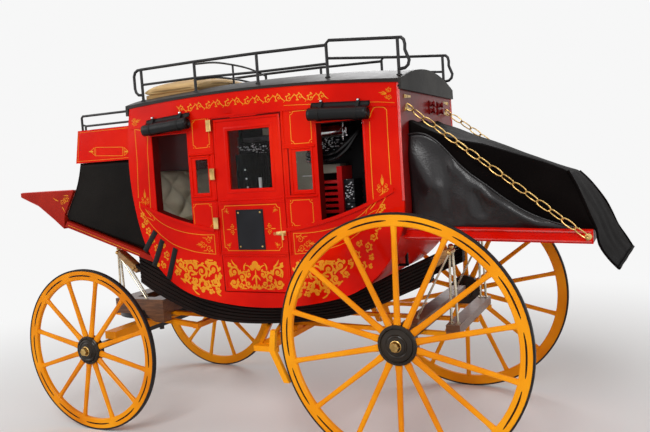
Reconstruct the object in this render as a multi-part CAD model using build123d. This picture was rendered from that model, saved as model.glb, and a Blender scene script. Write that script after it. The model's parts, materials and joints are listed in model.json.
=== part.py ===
from build123d import *
import math
import os

os.makedirs("parts", exist_ok=True)

# All sizes are in mm. X runs forward from the rear axle, Y to the left, Z up from the ground.

# Wheels and track
rear_radius = 193.7
front_radius = 150.0
wheelbase = 602.0
track_half = 204.0
tyre_width = 9.0
tyre_thick = 2.6
felloe_depth = 17.5
spoke_root = 10.5
spoke_tip = 8.0
spoke_thick = 7.0
flange_in = 9.0
flange_out = 7.0
hub_in = 20.0
hub_out = 11.0
hub_neck = 14.0
nut_length = 7.0
nut_radius = 6.9
spindle_radius = 4.0
running_gap = 0.05
axle_half = 6.0

# Ends of the whole coach
nose_x = 814.0
tail_x = -312.0
mid_x = (nose_x + tail_x) / 2

# Coach body, seen from the side: rear wall, and radii of the heel, belly, toe and leaning front
body_rear_x = -3.0
heel_z = 399.0
heel_radius = 157.0
belly_radius = 570.0
toe_radius = 160.0
lean_radius = 496.0
body_mid_x = 258.5
wall = 5.0
shell = 6.0
half_width = 154.0
plan_radius = 6864.0
section_drop = 4.5

# Roof bow along the coach
roof_apex_x = 300.0
roof_apex_z = 596.5
roof_bow = 6000.0
roof_crown = 25.0
roof_thick = 5.0
roof_lip = 1.5
strip = 4.5

# Doors
door_rear_x = 199.0
door_front_x = 329.0
door_low_z = 255.0
door_high_z = 548.0
door_gap = 1.4
hinge_x = door_front_x + 1.8
hinge_y = half_width + 4.0
hinge_radius = 2.0

# Belt curve over the waist panel
belt_radius = 544.5
belt_mid_x = 261.5
belt_low_z = 353.0
belt_high = 6.0
belt_proud = 2.4
bead_proud = 1.2

# Thoroughbraces and stands
strap_y = 100.0
strap_thick = 35.0
strap_wide = 22.0
strap_gap = 1.0
stand_rear_x = -57.0
stand_front_x = wheelbase + 6.0
stand_top_z = 316.0
stand_rod = 2.0

# Running gear: places that follow the axles
perch_wide = 9.0
perch_high = 6.5
perch_spread = 70.0
perch_rear_z = rear_radius - axle_half - perch_high / 2
perch_front_x = wheelbase - 86.0
king_radius = 5.0
ring_outer = 80.0
ring_inner = 66.0
hound_high = 9.0
hound_z = front_radius + 24.5
ring_low_z = hound_z + hound_high / 2
ring_split_z = ring_low_z + 8.8
bed_low_z = ring_split_z + 8.2
bed_high_z = bed_low_z + 29.0
perch_front_z = bed_low_z - perch_high / 2
bed_half = 106.0
jaw_x = wheelbase + 96.0
jaw_pin = 3.0


def box(x0, x1, y0, y1, z0, z1):
    solid = Box(x1 - x0, y1 - y0, z1 - z0)
    return Pos((x0 + x1) / 2, (y0 + y1) / 2, (z0 + z1) / 2) * solid


def slab(face, y0, y1):
    # A face drawn in X and Z, made solid from y0 to y1
    return Pos(0, y1, 0) * (Plane.XZ * extrude(face, y1 - y0))


def poly(*points):
    return make_face(Polyline(*points, close=True))


def rod(start, end, radius):
    line = Vector(*end) - Vector(*start)
    plane = Plane(origin=start, z_dir=line)
    return plane * Cylinder(radius, line.length, align=(Align.CENTER, Align.CENTER, Align.MIN))


def bar(start, end, wide, high):
    # A square bar from start to end, high in Z
    line = Vector(*end) - Vector(*start)
    side = Vector(0, 0, 1).cross(line).normalized()
    plane = Plane(origin=start, x_dir=side, z_dir=line)
    return plane * Box(wide, high, line.length, align=(Align.CENTER, Align.CENTER, Align.MIN))


def iron(points, radius):
    # An eight-sided iron rod bent along the points, with mitred corners
    path = Polyline(*points)
    start = Vector(*points[0])
    plane = Plane(origin=start, z_dir=Vector(*points[1]) - start)
    return sweep(plane * RegularPolygon(radius, 8), path=path, transition=Transition.RIGHT)


def across(x, y0, y1, z, radius):
    return rod((x, y0, z), (x, y1, z), radius)


def both(shape):
    return [shape, mirror(shape, about=Plane.XZ)]


def flat(items):
    solids = []
    for item in items:
        if isinstance(item, list):
            solids.extend(flat(item))
        else:
            solids.extend(item.solids())
    return solids


def save(name, *items):
    solids = [Pos(-mid_x, 0, 0) * solid for solid in flat(items)]
    export_step(Compound(children=solids), "parts/" + name + ".step")


def fuse(items):
    result = items[0]
    for item in items[1:]:
        result = result + item
    return result


def largest(shape):
    return max(shape.solids(), key=lambda solid: solid.volume)


def roof_edge(x):
    return roof_apex_z - (x - roof_apex_x) ** 2 / roof_bow


def roof_top(x, y):
    return roof_edge(x) + roof_crown * (1 - (y / (half_width - 4)) ** 2)


def side_y(z, inset=0.0):
    # Half width of the body halfway along it
    return half_width - inset - section_drop * ((z - 410) / 190) ** 2


turn_axis = Axis((body_mid_x, half_width - plan_radius, 0), (0, 0, 1))


def bowed(outer, inner):
    # Left half of a shell that follows the body's bowed side
    low, mid, high = 190.0, 410.0, 650.0
    skin = ThreePointArc((side_y(low, outer), low), (side_y(mid, outer), mid), (side_y(high, outer), high))
    if inner is None:
        lines = [skin, Polyline((side_y(high, outer), high), (-20, high), (-20, low), (side_y(low, outer), low))]
    else:
        back = ThreePointArc((side_y(low, inner), low), (side_y(mid, inner), mid), (side_y(high, inner), high))
        lines = [
            skin,
            back,
            Line((side_y(high, outer), high), (side_y(high, inner), high)),
            Line((side_y(low, outer), low), (side_y(low, inner), low)),
        ]
    face = Plane.YZ.offset(body_mid_x) * make_face(lines)
    turn = 5.0
    return revolve(face, axis=turn_axis, revolution_arc=turn).rotate(turn_axis, -turn / 2)


def core(inset):
    # Everything inside the bowed sides, both sides joined
    left = bowed(inset, None)
    return left + mirror(left, about=Plane.XZ)


# Side outline of the body: rear corner, heel, belly, toe and the leaning front
above = roof_apex_z + 40.0
rear_line = Line((body_rear_x, above), (body_rear_x, heel_z))
heel_arc = JernArc(rear_line @ 1, (0, -1), heel_radius, 75.0)
belly_arc = JernArc(heel_arc @ 1, heel_arc % 1, belly_radius, 27.5)
toe_arc = JernArc(belly_arc @ 1, belly_arc % 1, toe_radius, 62.5)
lean_arc = JernArc(toe_arc @ 1, toe_arc % 1, lean_radius, 28.5)
lean_rise = (above - (lean_arc @ 1).Y) / (lean_arc % 1).Y
lean_line = Line(lean_arc @ 1, (lean_arc @ 1) + (lean_arc % 1) * lean_rise)
top_line = Line(lean_line @ 1, rear_line @ 0)
outline = make_face([rear_line, heel_arc, belly_arc, toe_arc, lean_arc, lean_line, top_line])
outline = outline & (Pos(roof_apex_x, roof_apex_z - roof_bow / 2) * Circle(roof_bow / 2 - strip))
inline = offset(outline, -shell, kind=Kind.INTERSECTION)

body_prism = slab(outline, -200, 200)
cabin_prism = slab(inline, -200, 200)
hollow_prism = cabin_prism + box(body_rear_x + shell, 506, -200, 200, 540, roof_apex_z + 40)
ring = (body_prism - hollow_prism) & core(wall)

# Ends and bottom of the body
rear_split = box(body_rear_x - 20, 120, -200, 200, 345, roof_apex_z + 40)
front_split = box(400, 560, -200, 200, 350, roof_apex_z + 40)
save("end_walls", ring & rear_split, ring & front_split)
save("belly", ring - rear_split - front_split)

cabin_floor = box(40, 460, -200, 200, 262, 268) & cabin_prism & core(wall)
save("cabin_floor", cabin_floor)


def belt(x):
    return belt_low_z + belt_radius - math.sqrt(belt_radius ** 2 - (x - belt_mid_x) ** 2)


# Window openings beside the doors: rear x, front x, top z
big_windows = [
    (door_rear_x - 142, door_rear_x - 64, 527),
    (door_front_x + 56, door_front_x + 134, 531),
]
# Small windows: rear x, front x, low z, top z
small_windows = [
    (door_rear_x - 53, door_rear_x - 18, 423, 486),
    (door_front_x + 15, door_front_x + 48, 425, 488),
]


def band(a, b, low, high):
    # A face from a to b between two lines that follow the belt curve
    mid = (a + b) / 2
    under = ThreePointArc((a, belt(a) + low), (mid, belt(mid) + low), (b, belt(b) + low))
    over = ThreePointArc((a, belt(a) + high), (mid, belt(mid) + high), (b, belt(b) + high))
    return make_face([under, over, Line(under @ 0, over @ 0), Line(under @ 1, over @ 1)])


def big_window(rear, front, top, grow=0.0):
    a = rear - grow
    b = front + grow
    mid = (a + b) / 2
    rise = belt_high - grow
    sill = ThreePointArc((a, belt(a) + rise), (mid, belt(mid) + rise), (b, belt(b) + rise))
    sides = Polyline(sill @ 1, (b, top + grow), (a, top + grow), sill @ 0)
    return slab(make_face([sill, sides]), 100, 200)


openings = [big_window(*row) for row in big_windows]
openings += [box(a, b, 100, 200, low, high) for a, b, low, high in small_windows]
doorway = box(door_rear_x - door_gap, door_front_x + door_gap, 100, 200, door_low_z - door_gap, door_high_z + door_gap)

side = bowed(0, wall) & slab(outline, 100, 200)
side = side - fuse(openings) - doorway

# Linings that stand inwards round the big windows
for rear, front, top in big_windows:
    lining = big_window(rear, front, top, 3.0) - big_window(rear, front, top)
    side = side + (lining & bowed(wall - 0.5, 18.0))

# Belt moulding along the waist and a bead under the frieze
proud = bowed(-belt_proud, 0.5)
moulding = slab(band(12, door_rear_x - door_gap, 0, belt_high), 100, 200)
moulding = moulding + slab(band(door_front_x + door_gap + 10, 500, 0, belt_high), 100, 200)
bead_z = door_high_z + 8.0
bead = Circle(3750) - Circle(3747)
bead = (Pos(roof_apex_x, bead_z - 3750) * bead) & Pos(256, bead_z) * Rectangle(508, 60)
side = side + (moulding & proud) + (slab(bead, 100, 200) & bowed(-bead_proud, 0.5) & slab(outline, 100, 200))
save("side_walls", both(side))

panes = [bowed(2.0, 3.4) & box(a, b, 100, 200, low, high) for a, b, low, high in small_windows]
save("quarter_glass", both(fuse(panes)))

# Doors, with a rail under the window and one over the bottom panel
door_window = box(door_rear_x + 21, door_front_x - 28, 100, 200, 430, door_high_z - 20)
door = bowed(0, wall) & box(door_rear_x, door_front_x, 100, 200, door_low_z, door_high_z)
door = door - door_window
for low in (319.0, 405.0):
    door = door + (bowed(-1.4, 0.5) & box(door_rear_x, door_front_x, 100, 200, low, low + 5.0))
pane = bowed(2.0, 3.4) & door_window
save("door_left", door)
save("door_right", mirror(door, about=Plane.XZ))
save("door_glass_left", pane)
save("door_glass_right", mirror(pane, about=Plane.XZ))

# Hinge barrels, carried by the side walls in front of each door
barrel_long = 19.0
barrels = []
for low in (door_low_z + 109, 448.0, door_high_z - 18):
    high = low + barrel_long
    barrel = rod((hinge_x, hinge_y, low), (hinge_x, hinge_y, high), hinge_radius)
    leaf = box(hinge_x, hinge_x + 9, hinge_y - 8, hinge_y - 1.2, low, high) - bowed(0, None)
    leaf = leaf + box(hinge_x, hinge_x + 3, hinge_y - 3, hinge_y, low, high)
    barrels.append(barrel + leaf)
save("door_hinges", [both(barrel) for barrel in barrels])

# Roof: a crowned board bowed along its length
eave = half_width + 6.0
inner_eave = half_width - 11.0
eave_low = roof_crown * (1 - (eave / (half_width - 4)) ** 2)
crown_arc = ThreePointArc((-eave, eave_low), (0, roof_crown), (eave, eave_low))
under_arc = ThreePointArc((-inner_eave, -strip), (0, roof_crown - roof_thick), (inner_eave, -strip))
roof_lines = [
    crown_arc,
    under_arc,
    Polyline((eave, eave_low), (eave, -strip), (inner_eave, -strip)),
    Polyline((-eave, eave_low), (-eave, -strip), (-inner_eave, -strip)),
]
roof_face = Plane.YZ.offset(roof_apex_x) * (Pos(0, roof_apex_z, 0) * make_face(roof_lines))
bow_axis = Axis((roof_apex_x, 0, roof_apex_z - roof_bow / 2), (0, 1, 0))
roof = revolve(roof_face, axis=bow_axis, revolution_arc=14).rotate(bow_axis, -7)
roof_front_x = 513.5
roof = roof & box(body_rear_x, roof_front_x, -200, 200, roof_apex_z - 40, roof_apex_z + 40) & core(-roof_lip)
save("roof", roof)


def roof_end(x0, x1, low, edge):
    arc = ThreePointArc((-eave, edge + eave_low), (0, edge + roof_crown), (eave, edge + eave_low))
    base = Polyline(arc @ 1, (eave, low), (-eave, low), arc @ 0)
    face = Plane.YZ.offset(x0) * make_face([arc, base])
    return (extrude(face, x1 - x0) & core(-roof_lip)) - body_prism


roof_rear_end = roof_end(body_rear_x - 5, body_rear_x, roof_edge(body_rear_x) - 15, roof_edge(body_rear_x))
roof_front_end = roof_end(roof_front_x, roof_front_x + 5.5, roof_edge(roof_front_x) - 17, roof_edge(roof_front_x))
save("roof_ends", roof_rear_end, roof_front_end)

# Roof seat in the front bay
seat_y = half_width - 42.0
roof_seat = box(380.5, 491, -seat_y, seat_y, roof_apex_z - 6, roof_apex_z + 27.5) - roof
roof_seat = max(roof_seat.solids(), key=lambda solid: solid.center().Z)
save("roof_seat", roof_seat)

# Roof rails: x and top z of each post, middle rails 27 below the top
rail = 2.3
rail_y = half_width - 30.0
posts = [(2, 646), (121, 654), (250, 651), (377, 653.5), (495, 655)]
rail_drop = 27.0
scroll = [(2, 646), (-3, 645.5), (-8, 641), (-9.5, 634), (-9, 626), (-12, 618), (-15, 610), (-13, 603), (-8, 599), (2, 598)]
loop = [(495, 655), (503, 654.5), (509, 651), (512, 644), (512, 622), (510, 615), (505, 610), (495, 609)]
top_run = [(x, rail_y, z) for x, z in scroll[::-1] + posts[1:-1] + loop]
side_rails = [iron(top_run, rail)]
for (xa, za), (xb, zb) in zip(posts, posts[1:]):
    side_rails.append(iron([(xa, rail_y, za - rail_drop), (xb, rail_y, zb - rail_drop)], rail * 0.9))
for x, top in posts:
    side_rails.append(iron([(x, rail_y, roof_top(x, rail_y) - 1.0), (x, rail_y, top)], rail))
rail_side = fuse(side_rails)
# Arched rails across the roof behind the seat
arches = []
for mid_rise in (0.0, -rail_drop):
    arch = [(-rail_y, 651), (-rail_y / 2, 660), (0, 662), (rail_y / 2, 660), (rail_y, 651)]
    arches.append(iron([(377, y, z + mid_rise) for y, z in arch], rail * 0.9))
arches.append(iron([(377, 0, roof_top(377, 0) - 1.0), (377, 0, 662)], rail * 0.9))
rail_all = fuse([rail_side, mirror(rail_side, about=Plane.XZ)] + arches) - roof
roof_rails = largest(rail_all)

# Leather curtain rolls over the big windows: rear x and z, front x and z
roll_rows = [(45.0, 534.5, 149.0, 540.5), (373.0, 547.0, 477.0, 540.5)]
roll_radius = 9.0
rolls = []
for a, za, b, zb in roll_rows:
    y = side_y(545) + roll_radius
    roll = rod((a, y, za), (b, y, zb), roll_radius)
    flap = slab(poly((a + 6, za), (b - 6, zb), (b - 6, zb + 15), (a + 6, za + 15)), y - 12, y - 2)
    rolls.append((roll + flap) - core(-bead_proud))
save("curtain_rolls", [both(roll) for roll in rolls])

# Driver's seat box and its rail
seat_half = half_width - 11.0
seat_top_z = 555.0
seat_low_z = 494.0
seat_shape = poly((440, seat_low_z), (655, seat_low_z), (643, seat_top_z), (440, seat_top_z))
seat_box = largest(slab(seat_shape, -seat_half, seat_half) - body_prism)
save("seat_box", seat_box)

seat_rail_y = seat_half - 4.0
upper_run = [(634, seat_top_z - 1), (634, 579), (631, 582), (515, 582)]
lower_run = [(626, seat_top_z - 1), (626, 561), (624, 563), (518, 563)]
seat_rails = [iron([(x, seat_rail_y, z) for x, z in run], 2.0) for run in (upper_run, lower_run)]
brace = iron([(634, seat_rail_y, 566), (624, seat_rail_y, 563)], 1.8)
seat_rail = largest(fuse(seat_rails + [brace]) - seat_box - body_prism - roof_front_end)
save("rails", roof_rails, both(seat_rail))

# Front boot of leather under the driver's seat
boot_half = seat_half - 4.0
boot_shape = poly((440, seat_low_z), (650, seat_low_z), (668, 446), (698, 396), (694, 383), (440, 298))
boot_inner = poly((430, 489), (646, 489), (663, 444), (692, 396), (689, 387), (430, 301))
boot_shell = slab(boot_shape, -boot_half, boot_half) - slab(boot_inner, -boot_half + 5, boot_half - 5)
boot_shell = largest(boot_shell - body_prism - slab(poly((440, 298.3), (694, 383.2), (694, 290)), -200, 200))
save("front_boot", boot_shell)

# Red bottom frame of the boot and the footboard before it
foot_half = seat_half - 1.0
cheek_thick = 6.0
board_shape = poly((440, 298), (694, 383), (701, 373), (440, 287))
boot_floor = largest(slab(board_shape, -foot_half, foot_half) - body_prism)
lip = [(nose_x, 435), (nose_x, 443)]
cheek = poly((699, 396.2), (704, 369), (730, 390), (768, 417), *lip, (670, 443))
tread = poly((699, 396.2), (704, 369), (730, 390), (768, 417), (nose_x, 435), (nose_x, 441), (764, 423), (726, 397))
inner = foot_half - cheek_thick
foot = slab(cheek, inner, foot_half) + slab(cheek, -foot_half, -inner) + slab(tread, -inner, inner)
foot = largest(foot - slab(boot_shape, -boot_half, boot_half))
save("footboard", boot_floor + foot)

# Rear rack: two moulded side rails, a bed and a tail bar
rack_y = 118.0
rail_half = 4.0
rack_rail = poly((-264, 328), (-264, 348), (12, 358), (12, 338))
rack_bead = poly((-264, 332), (-264, 337), (12, 347), (12, 342))
rack_bed = poly((-258, 333), (-258, 338), (12, 347), (12, 342))
rack = slab(rack_rail, rack_y - rail_half, rack_y + rail_half)
rack = rack + slab(rack_bead, rack_y, rack_y + rail_half + 1.5)
rack = rack + mirror(rack, about=Plane.XZ)
rack = rack + box(-264, -254, -rack_y, rack_y, 328.5, 347) + slab(rack_bed, -rack_y, rack_y)
rack = rack - (body_prism & core(0))
save("rear_rack", largest(rack))

# Leather cover over the rear boot: sections across it, as x, side z, crown z, base z
cover_rows = [
    (body_rear_x - 0.4, 494, 520, 350),
    (-62, 462, 494, 349),
    (-140, 414, 462, 347),
    (-222, 366, 426, 345),
    (-266, 350, 362, 345),
]
cover_half = 112.0
# Share of the half width and of the rise at each fold of the leather over the crown
crown_folds = [(1.0, 0.0), (0.82, 0.42), (0.5, 0.82), (0.0, 1.0), (-0.5, 0.82), (-0.82, 0.42), (-1.0, 0.0)]


def cover_section(x, side_z, crown_z, base_z):
    top = [(cover_half * a, side_z + (crown_z - side_z) * b) for a, b in crown_folds]
    return Plane.YZ.offset(x) * poly(*top, (-cover_half, base_z), (cover_half, base_z))


cover = loft([cover_section(*row) for row in cover_rows], ruled=True)
tail = [(-264, 346), (-264, 358), (-272, 352), (tail_x, 290), (tail_x + 9, 284), (-265, 340)]
cover = cover + slab(poly(*tail), -cover_half, cover_half)
cover = largest(cover - rack - (body_prism & core(0)))
save("rear_boot", cover)

# Chains from staples on the rear wall to pins on the rack: bent flat links that hook in each other
chain_start = Vector(body_rear_x - 2, 112, 541)
chain_end = Vector(-258, rack_y + rail_half + 8.5, 338)
link_count = 15
wire = 2.2
link_half = 6.0
link_play = 0.4
link_pitch = (chain_end - chain_start).length / (link_count + 0.5)


def ring_points(a, b, cut):
    return [(a, b - cut), (a - cut, b), (cut - a, b), (-a, b - cut), (-a, cut - b), (cut - a, -b), (a - cut, -b), (a, cut - b)]


inner_half = (link_pitch + link_play) / 2
link_face = poly(*ring_points(inner_half + wire, link_half, 3.4)) - poly(*ring_points(inner_half, link_half - wire, 2.1))
link = Pos(0, 0, -wire / 2) * extrude(link_face, wire)
run = (chain_end - chain_start).normalized()
chain = []
for i in range(link_count + 1):
    plane = Plane(origin=chain_start + run * (link_pitch * i), x_dir=run, z_dir=run.cross(Vector(0, 1, 0)))
    placed = plane * (Rot(45 if i % 2 else -45, 0, 0) * link)
    chain.append(placed)
staple = largest(chain[0] - box(body_rear_x, 60, 0, 200, 300, 700))
pin = across(chain_end.X, rack_y + rail_half, chain_end.Y + 6, chain_end.Z, 1.6)
pin = pin + across(chain_end.X, chain_end.Y + 5, chain_end.Y + 7, chain_end.Z, 3.0)
pin = largest(pin - rack)
save("chains", both(staple), [both(link) for link in chain[1:]], both(pin))

# Thoroughbraces: leather straps under the belly
strap_start = (stand_rear_x + 20.0, 299.0)
lead = 24.0
lead_front = 24.4
lead_dir = (math.cos(math.radians(lead)), -math.sin(math.radians(lead)))
centre = (body_rear_x + heel_radius, heel_z)
off = strap_thick / 2 + strap_gap
first = heel_radius + off
touch = (centre[0] - first * math.sin(math.radians(lead)), centre[1] - first * math.cos(math.radians(lead)))
reach_back = (touch[0] - strap_start[0]) / lead_dir[0]
begin = (touch[0] - reach_back * lead_dir[0], touch[1] - reach_back * lead_dir[1])
path_a = Line(begin, touch)
path_b = JernArc(path_a @ 1, lead_dir, first, lead - 15.0)
path_c = JernArc(path_b @ 1, path_b % 1, belly_radius + off, 27.5)
path_d = JernArc(path_c @ 1, path_c % 1, toe_radius + off, lead_front - 12.5)
end_dir = path_d % 1
end_pt = path_d @ 1
reach = (stand_front_x - 46.0 - end_pt.X) / end_dir.X
path_e = Line(end_pt, end_pt + end_dir * reach)
start_pt = path_a @ 0


def strap_edge(offset_by):
    # The path moved sideways by offset_by: positive is up
    n0 = Vector(-lead_dir[1], lead_dir[0]) * offset_by
    n1 = Vector(-end_dir.Y, end_dir.X) * offset_by
    a0 = start_pt + n0
    a1 = (path_a @ 1) + n0
    b = JernArc(a1, lead_dir, first - offset_by, lead - 15.0)
    c = JernArc(b @ 1, b % 1, belly_radius + off - offset_by, 27.5)
    d = JernArc(c @ 1, c % 1, toe_radius + off - offset_by, lead_front - 12.5)
    e1 = (path_e @ 1) + n1
    return [Line(a0, a1), b, c, d, Line(d @ 1, e1)], a0, e1


top_lines, top_a, top_e = strap_edge(strap_thick / 2)
rear_lines, low_a, low_e = strap_edge(-strap_thick / 2)
low_heel = rear_lines[1]
# The lower edge sags away from the body, then rises over the front bed's rear end
sag_x = wheelbase - 96.0
low_flat = ThreePointArc(low_heel @ 1, (240.0, 191.8), (sag_x - 134.0, 189.5))
low_toe = TangentArc(low_flat @ 1, (sag_x - 60.0, 206.5), tangent=low_flat % 1)
low_rise = Line(low_toe @ 1, (sag_x + 20.0, 243.0))
low_e = Vector(stand_front_x - 50.0, 263.0)
low_lines = [rear_lines[0], low_heel, low_flat, low_toe, low_rise, Line(low_rise @ 1, low_e)]
strap_face = make_face(top_lines + low_lines + [Line(top_a, low_a), Line(top_e, low_e)])
strap = slab(strap_face, strap_y - strap_wide / 2, strap_y + strap_wide / 2)
save("thoroughbraces", both(strap))

# Rear running gear
hub_inner = track_half - hub_in
hub_outer = track_half + hub_out
nut_outer = hub_outer + nut_length
axle_end = hub_inner - 8.0
square = box(-axle_half, axle_half, -axle_end, axle_end, rear_radius - axle_half, rear_radius + axle_half)
spindle = across(0, axle_end - 1, nut_outer - 2, rear_radius, spindle_radius)
save("rear_axle", square + spindle + mirror(spindle, about=Plane.XZ))
bed_top_z = rear_radius + 19.0
rear_bed = box(-13, 13, -150, 150, rear_radius + axle_half, bed_top_z)
stand_foot_z = rear_radius + 8.3
stand_bar = box(stand_rear_x - 11, stand_rear_x + 11, -strap_y - 12, strap_y + 12, rear_radius - axle_half, stand_foot_z)
save("rear_bed", rear_bed, stand_bar)

# Perches: one straight, two that spread to the rear
perch_rear_x = stand_rear_x - 14.0


def perch(y_rear, y_front):
    start = (perch_rear_x, y_rear, perch_rear_z)
    return bar(start, (perch_front_x, y_front, perch_front_z), perch_wide, perch_high)


perches = [perch(0, 0)] + both(perch(strap_y, perch_spread))
perches = [item - square - stand_bar for item in perches]
save("perches", perches)

# Front bed, fixed to the perches: two side boards with a curved lower edge, cross pieces and a middle piece
bed_rear_x = wheelbase - 96.0
bed_front_x = wheelbase + 20.0
board_thick = 22.0
board_low_z = bed_low_z - 15.0
ogee = ThreePointArc((wheelbase - 81, board_low_z), (wheelbase - 62, board_low_z + 7), (wheelbase - 50, bed_low_z + 8))
rim = Polyline(
    ogee @ 1,
    (bed_front_x, bed_low_z + 8),
    (bed_front_x, bed_high_z),
    (bed_rear_x, bed_high_z),
    (bed_rear_x, board_low_z),
    ogee @ 0,
)
board = slab(make_face([ogee, rim]), bed_half - board_thick, bed_half)
front_bed = board + mirror(board, about=Plane.XZ)
front_bed = front_bed + box(wheelbase - 16, bed_front_x, -bed_half, bed_half, bed_low_z, bed_high_z)
front_bed = front_bed + box(bed_rear_x, bed_rear_x + 36, -bed_half, bed_half, bed_low_z, bed_high_z)
front_bed = front_bed + box(wheelbase - 80, wheelbase, -14, 14, bed_low_z, bed_high_z)
save("front_bed", front_bed)

# Turntable: the upper ring with its bar and the king pin
ring_top = Cylinder(ring_outer, bed_low_z - ring_split_z - 0.2) - Cylinder(ring_inner, 40)
ring_top = ring_top + Box(2 * ring_inner + 10, 18, bed_low_z - ring_split_z - 0.2)
ring_top = Pos(wheelbase, 0, (bed_low_z + ring_split_z + 0.2) / 2) * ring_top
king = rod((wheelbase, 0, front_radius - 12), (wheelbase, 0, bed_low_z), king_radius)
save("fifth_wheel_top", ring_top + king)

# Stands: twin uprights that spread downwards, a head with a cap, two stays and a wooden link to the strap
stands = []
# Columns: x, foot z, stay foot x, stay foot z, stay y, strap end x, strap end z
stand_rows = [
    (stand_rear_x, stand_foot_z, -2.0, bed_top_z, strap_y + 15, stand_rear_x + 26, 296.0),
    (stand_front_x, bed_high_z, stand_front_x - 62, bed_high_z, strap_y + 4, stand_front_x - 48, 281.0),
]
spread = 5.0
for x, foot_z, stay_x, stay_z, stay_y, strap_x, strap_z in stand_rows:
    toward = 1 if stay_x > x else -1
    group = box(x - 5, x + 5, strap_y - 8, stay_y + 2, stand_top_z - 4, stand_top_z + 4)
    group = group + (Pos(x, strap_y, stand_top_z + 5.5) * Cylinder(4.5, 6.0))
    for aside in (-1, 1):
        foot = (x + spread * aside, strap_y, foot_z)
        group = group + iron([foot, (x + 2.5 * aside, strap_y, stand_top_z)], stand_rod)
    group = group + iron([(x, stay_y, stand_top_z - 2), (stay_x, stay_y, stay_z)], stand_rod * 0.9)
    inner_foot = (x + (stay_x - x) * 0.8, strap_y - 14, stay_z)
    if x > 0:
        group = group + iron([(x, strap_y - 6, stand_top_z - 2), inner_foot], stand_rod * 0.9)
    timber = bar((x + 2 * toward, strap_y, stand_top_z), (strap_x, strap_y, strap_z), 18, 13) - strap
    stands.append(largest(group + timber))
beds = rear_bed + stand_bar + front_bed
save("stands", [both(largest(solid - beds)) for solid in stands])

# Brake beam under the perches, with saddles, braces and a lever with its shoe before each rear wheel
beam_low_z = 168.0
beam_high_z = 177.0
lever_y = track_half - 4.0
saddle = box(225, 245, 72, 94, beam_high_z, beam_high_z + 8)
brake = box(224, 250, -lever_y, lever_y, beam_low_z, beam_high_z)
brake = brake + saddle + mirror(saddle, about=Plane.XZ)
end_block = box(206, 226, lever_y - 6, lever_y, beam_low_z, beam_high_z)
brake = brake + end_block + mirror(end_block, about=Plane.XZ)
for start_x, end_x in ((230, 262), (244, 286)):
    brace = bar((start_x, lever_y - 14, beam_high_z - 2), (end_x, 80, beam_high_z + 8), 6, 6)
    brake = brake + brace + mirror(brace, about=Plane.XZ)
brake = largest(brake - fuse(perches))
lever = slab(poly((184, 122), (194, 122), (217, 172), (212, 206), (203, 206), (207, 173)), lever_y, lever_y + 8)
save("brake", brake, both(lever))

# Front gear, which turns about the king pin
front_half = axle_half - 0.5
front_square = box(wheelbase - front_half, wheelbase + front_half, -axle_end, axle_end, front_radius - front_half, front_radius + front_half)
front_spindle = across(wheelbase, axle_end - 1, nut_outer - 2, front_radius, spindle_radius)
front_spindle = front_spindle + mirror(front_spindle, about=Plane.XZ)
pin_hole = rod((wheelbase, 0, front_radius - 30), (wheelbase, 0, bed_low_z), king_radius + running_gap)
save("front_axle", (front_square + front_spindle) - pin_hole)
hound_low_z = hound_z - hound_high / 2
axle_bed = box(wheelbase - 13, wheelbase + 13, -150, 150, front_radius + front_half, hound_low_z)
tail_hound_x = wheelbase - 160.0
hounds = both(bar((tail_hound_x, 88, hound_z), (jaw_x + 8, 17, hound_z), 10, hound_high))
hounds.append(box(tail_hound_x - 6, tail_hound_x + 6, -96, 96, hound_low_z, hound_low_z + hound_high))
hound_set = fuse(hounds) + axle_bed - across(jaw_x, -40, 40, hound_z, jaw_pin) - pin_hole
save("front_hounds", hound_set)
low_thick = ring_split_z - ring_low_z - 0.2
ring_low = Pos(wheelbase, 0, ring_low_z + low_thick / 2) * (Cylinder(ring_outer, low_thick) - Cylinder(ring_inner, 40))
save("fifth_wheel_low", ring_low)


# Wheels: name, x, radius, spokes, first spoke's angle from upright, hub radius
wheel_rows = [
    ("rear", 0.0, rear_radius, 14, -1.2, 30.0),
    ("front", wheelbase, front_radius, 12, -12.7, 26.0),
]


def disc(radius, y0, y1):
    return Pos(0, (y0 + y1) / 2, 0) * Rot(90, 0, 0) * Cylinder(radius, y1 - y0)


def drum(radius, y0, y1):
    # A hub's step, with 24 sides
    return Pos(0, y1, 0) * (Plane.XZ * extrude(RegularPolygon(radius, 24), y1 - y0))


def wheel(radius, spokes, first_angle, hub_radius):
    y0 = track_half - tyre_width / 2
    y1 = track_half + tyre_width / 2
    rim = radius - tyre_thick
    rim_inner = rim - felloe_depth
    tyre = disc(radius, y0, y1) - disc(rim, y0, y1)
    wood = disc(rim, y0 + 0.5, y1 - 0.5) - disc(rim_inner, y0 + 0.5, y1 - 0.5)
    low = hub_radius - 4
    high = rim_inner + 3
    blade = poly((-spoke_root / 2, low), (spoke_root / 2, low), (spoke_tip / 2, high), (-spoke_tip / 2, high))
    blade = slab(blade, track_half - spoke_thick / 2, track_half + spoke_thick / 2)
    for i in range(spokes):
        wood = wood + Rot(0, first_angle + 360.0 * i / spokes, 0) * blade
    flange_a = track_half - flange_in
    flange_b = track_half + flange_out
    wood = wood - drum(hub_radius, flange_a, flange_b)
    hub = drum(hub_radius, flange_a, flange_b) + drum(hub_neck, hub_inner, hub_outer)
    hub = hub + drum(hub_neck + 4, flange_b, flange_b + 2)
    hub = hub - disc(spindle_radius + running_gap, hub_inner - 1, hub_outer + 1)
    return tyre, wood, hub


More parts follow.
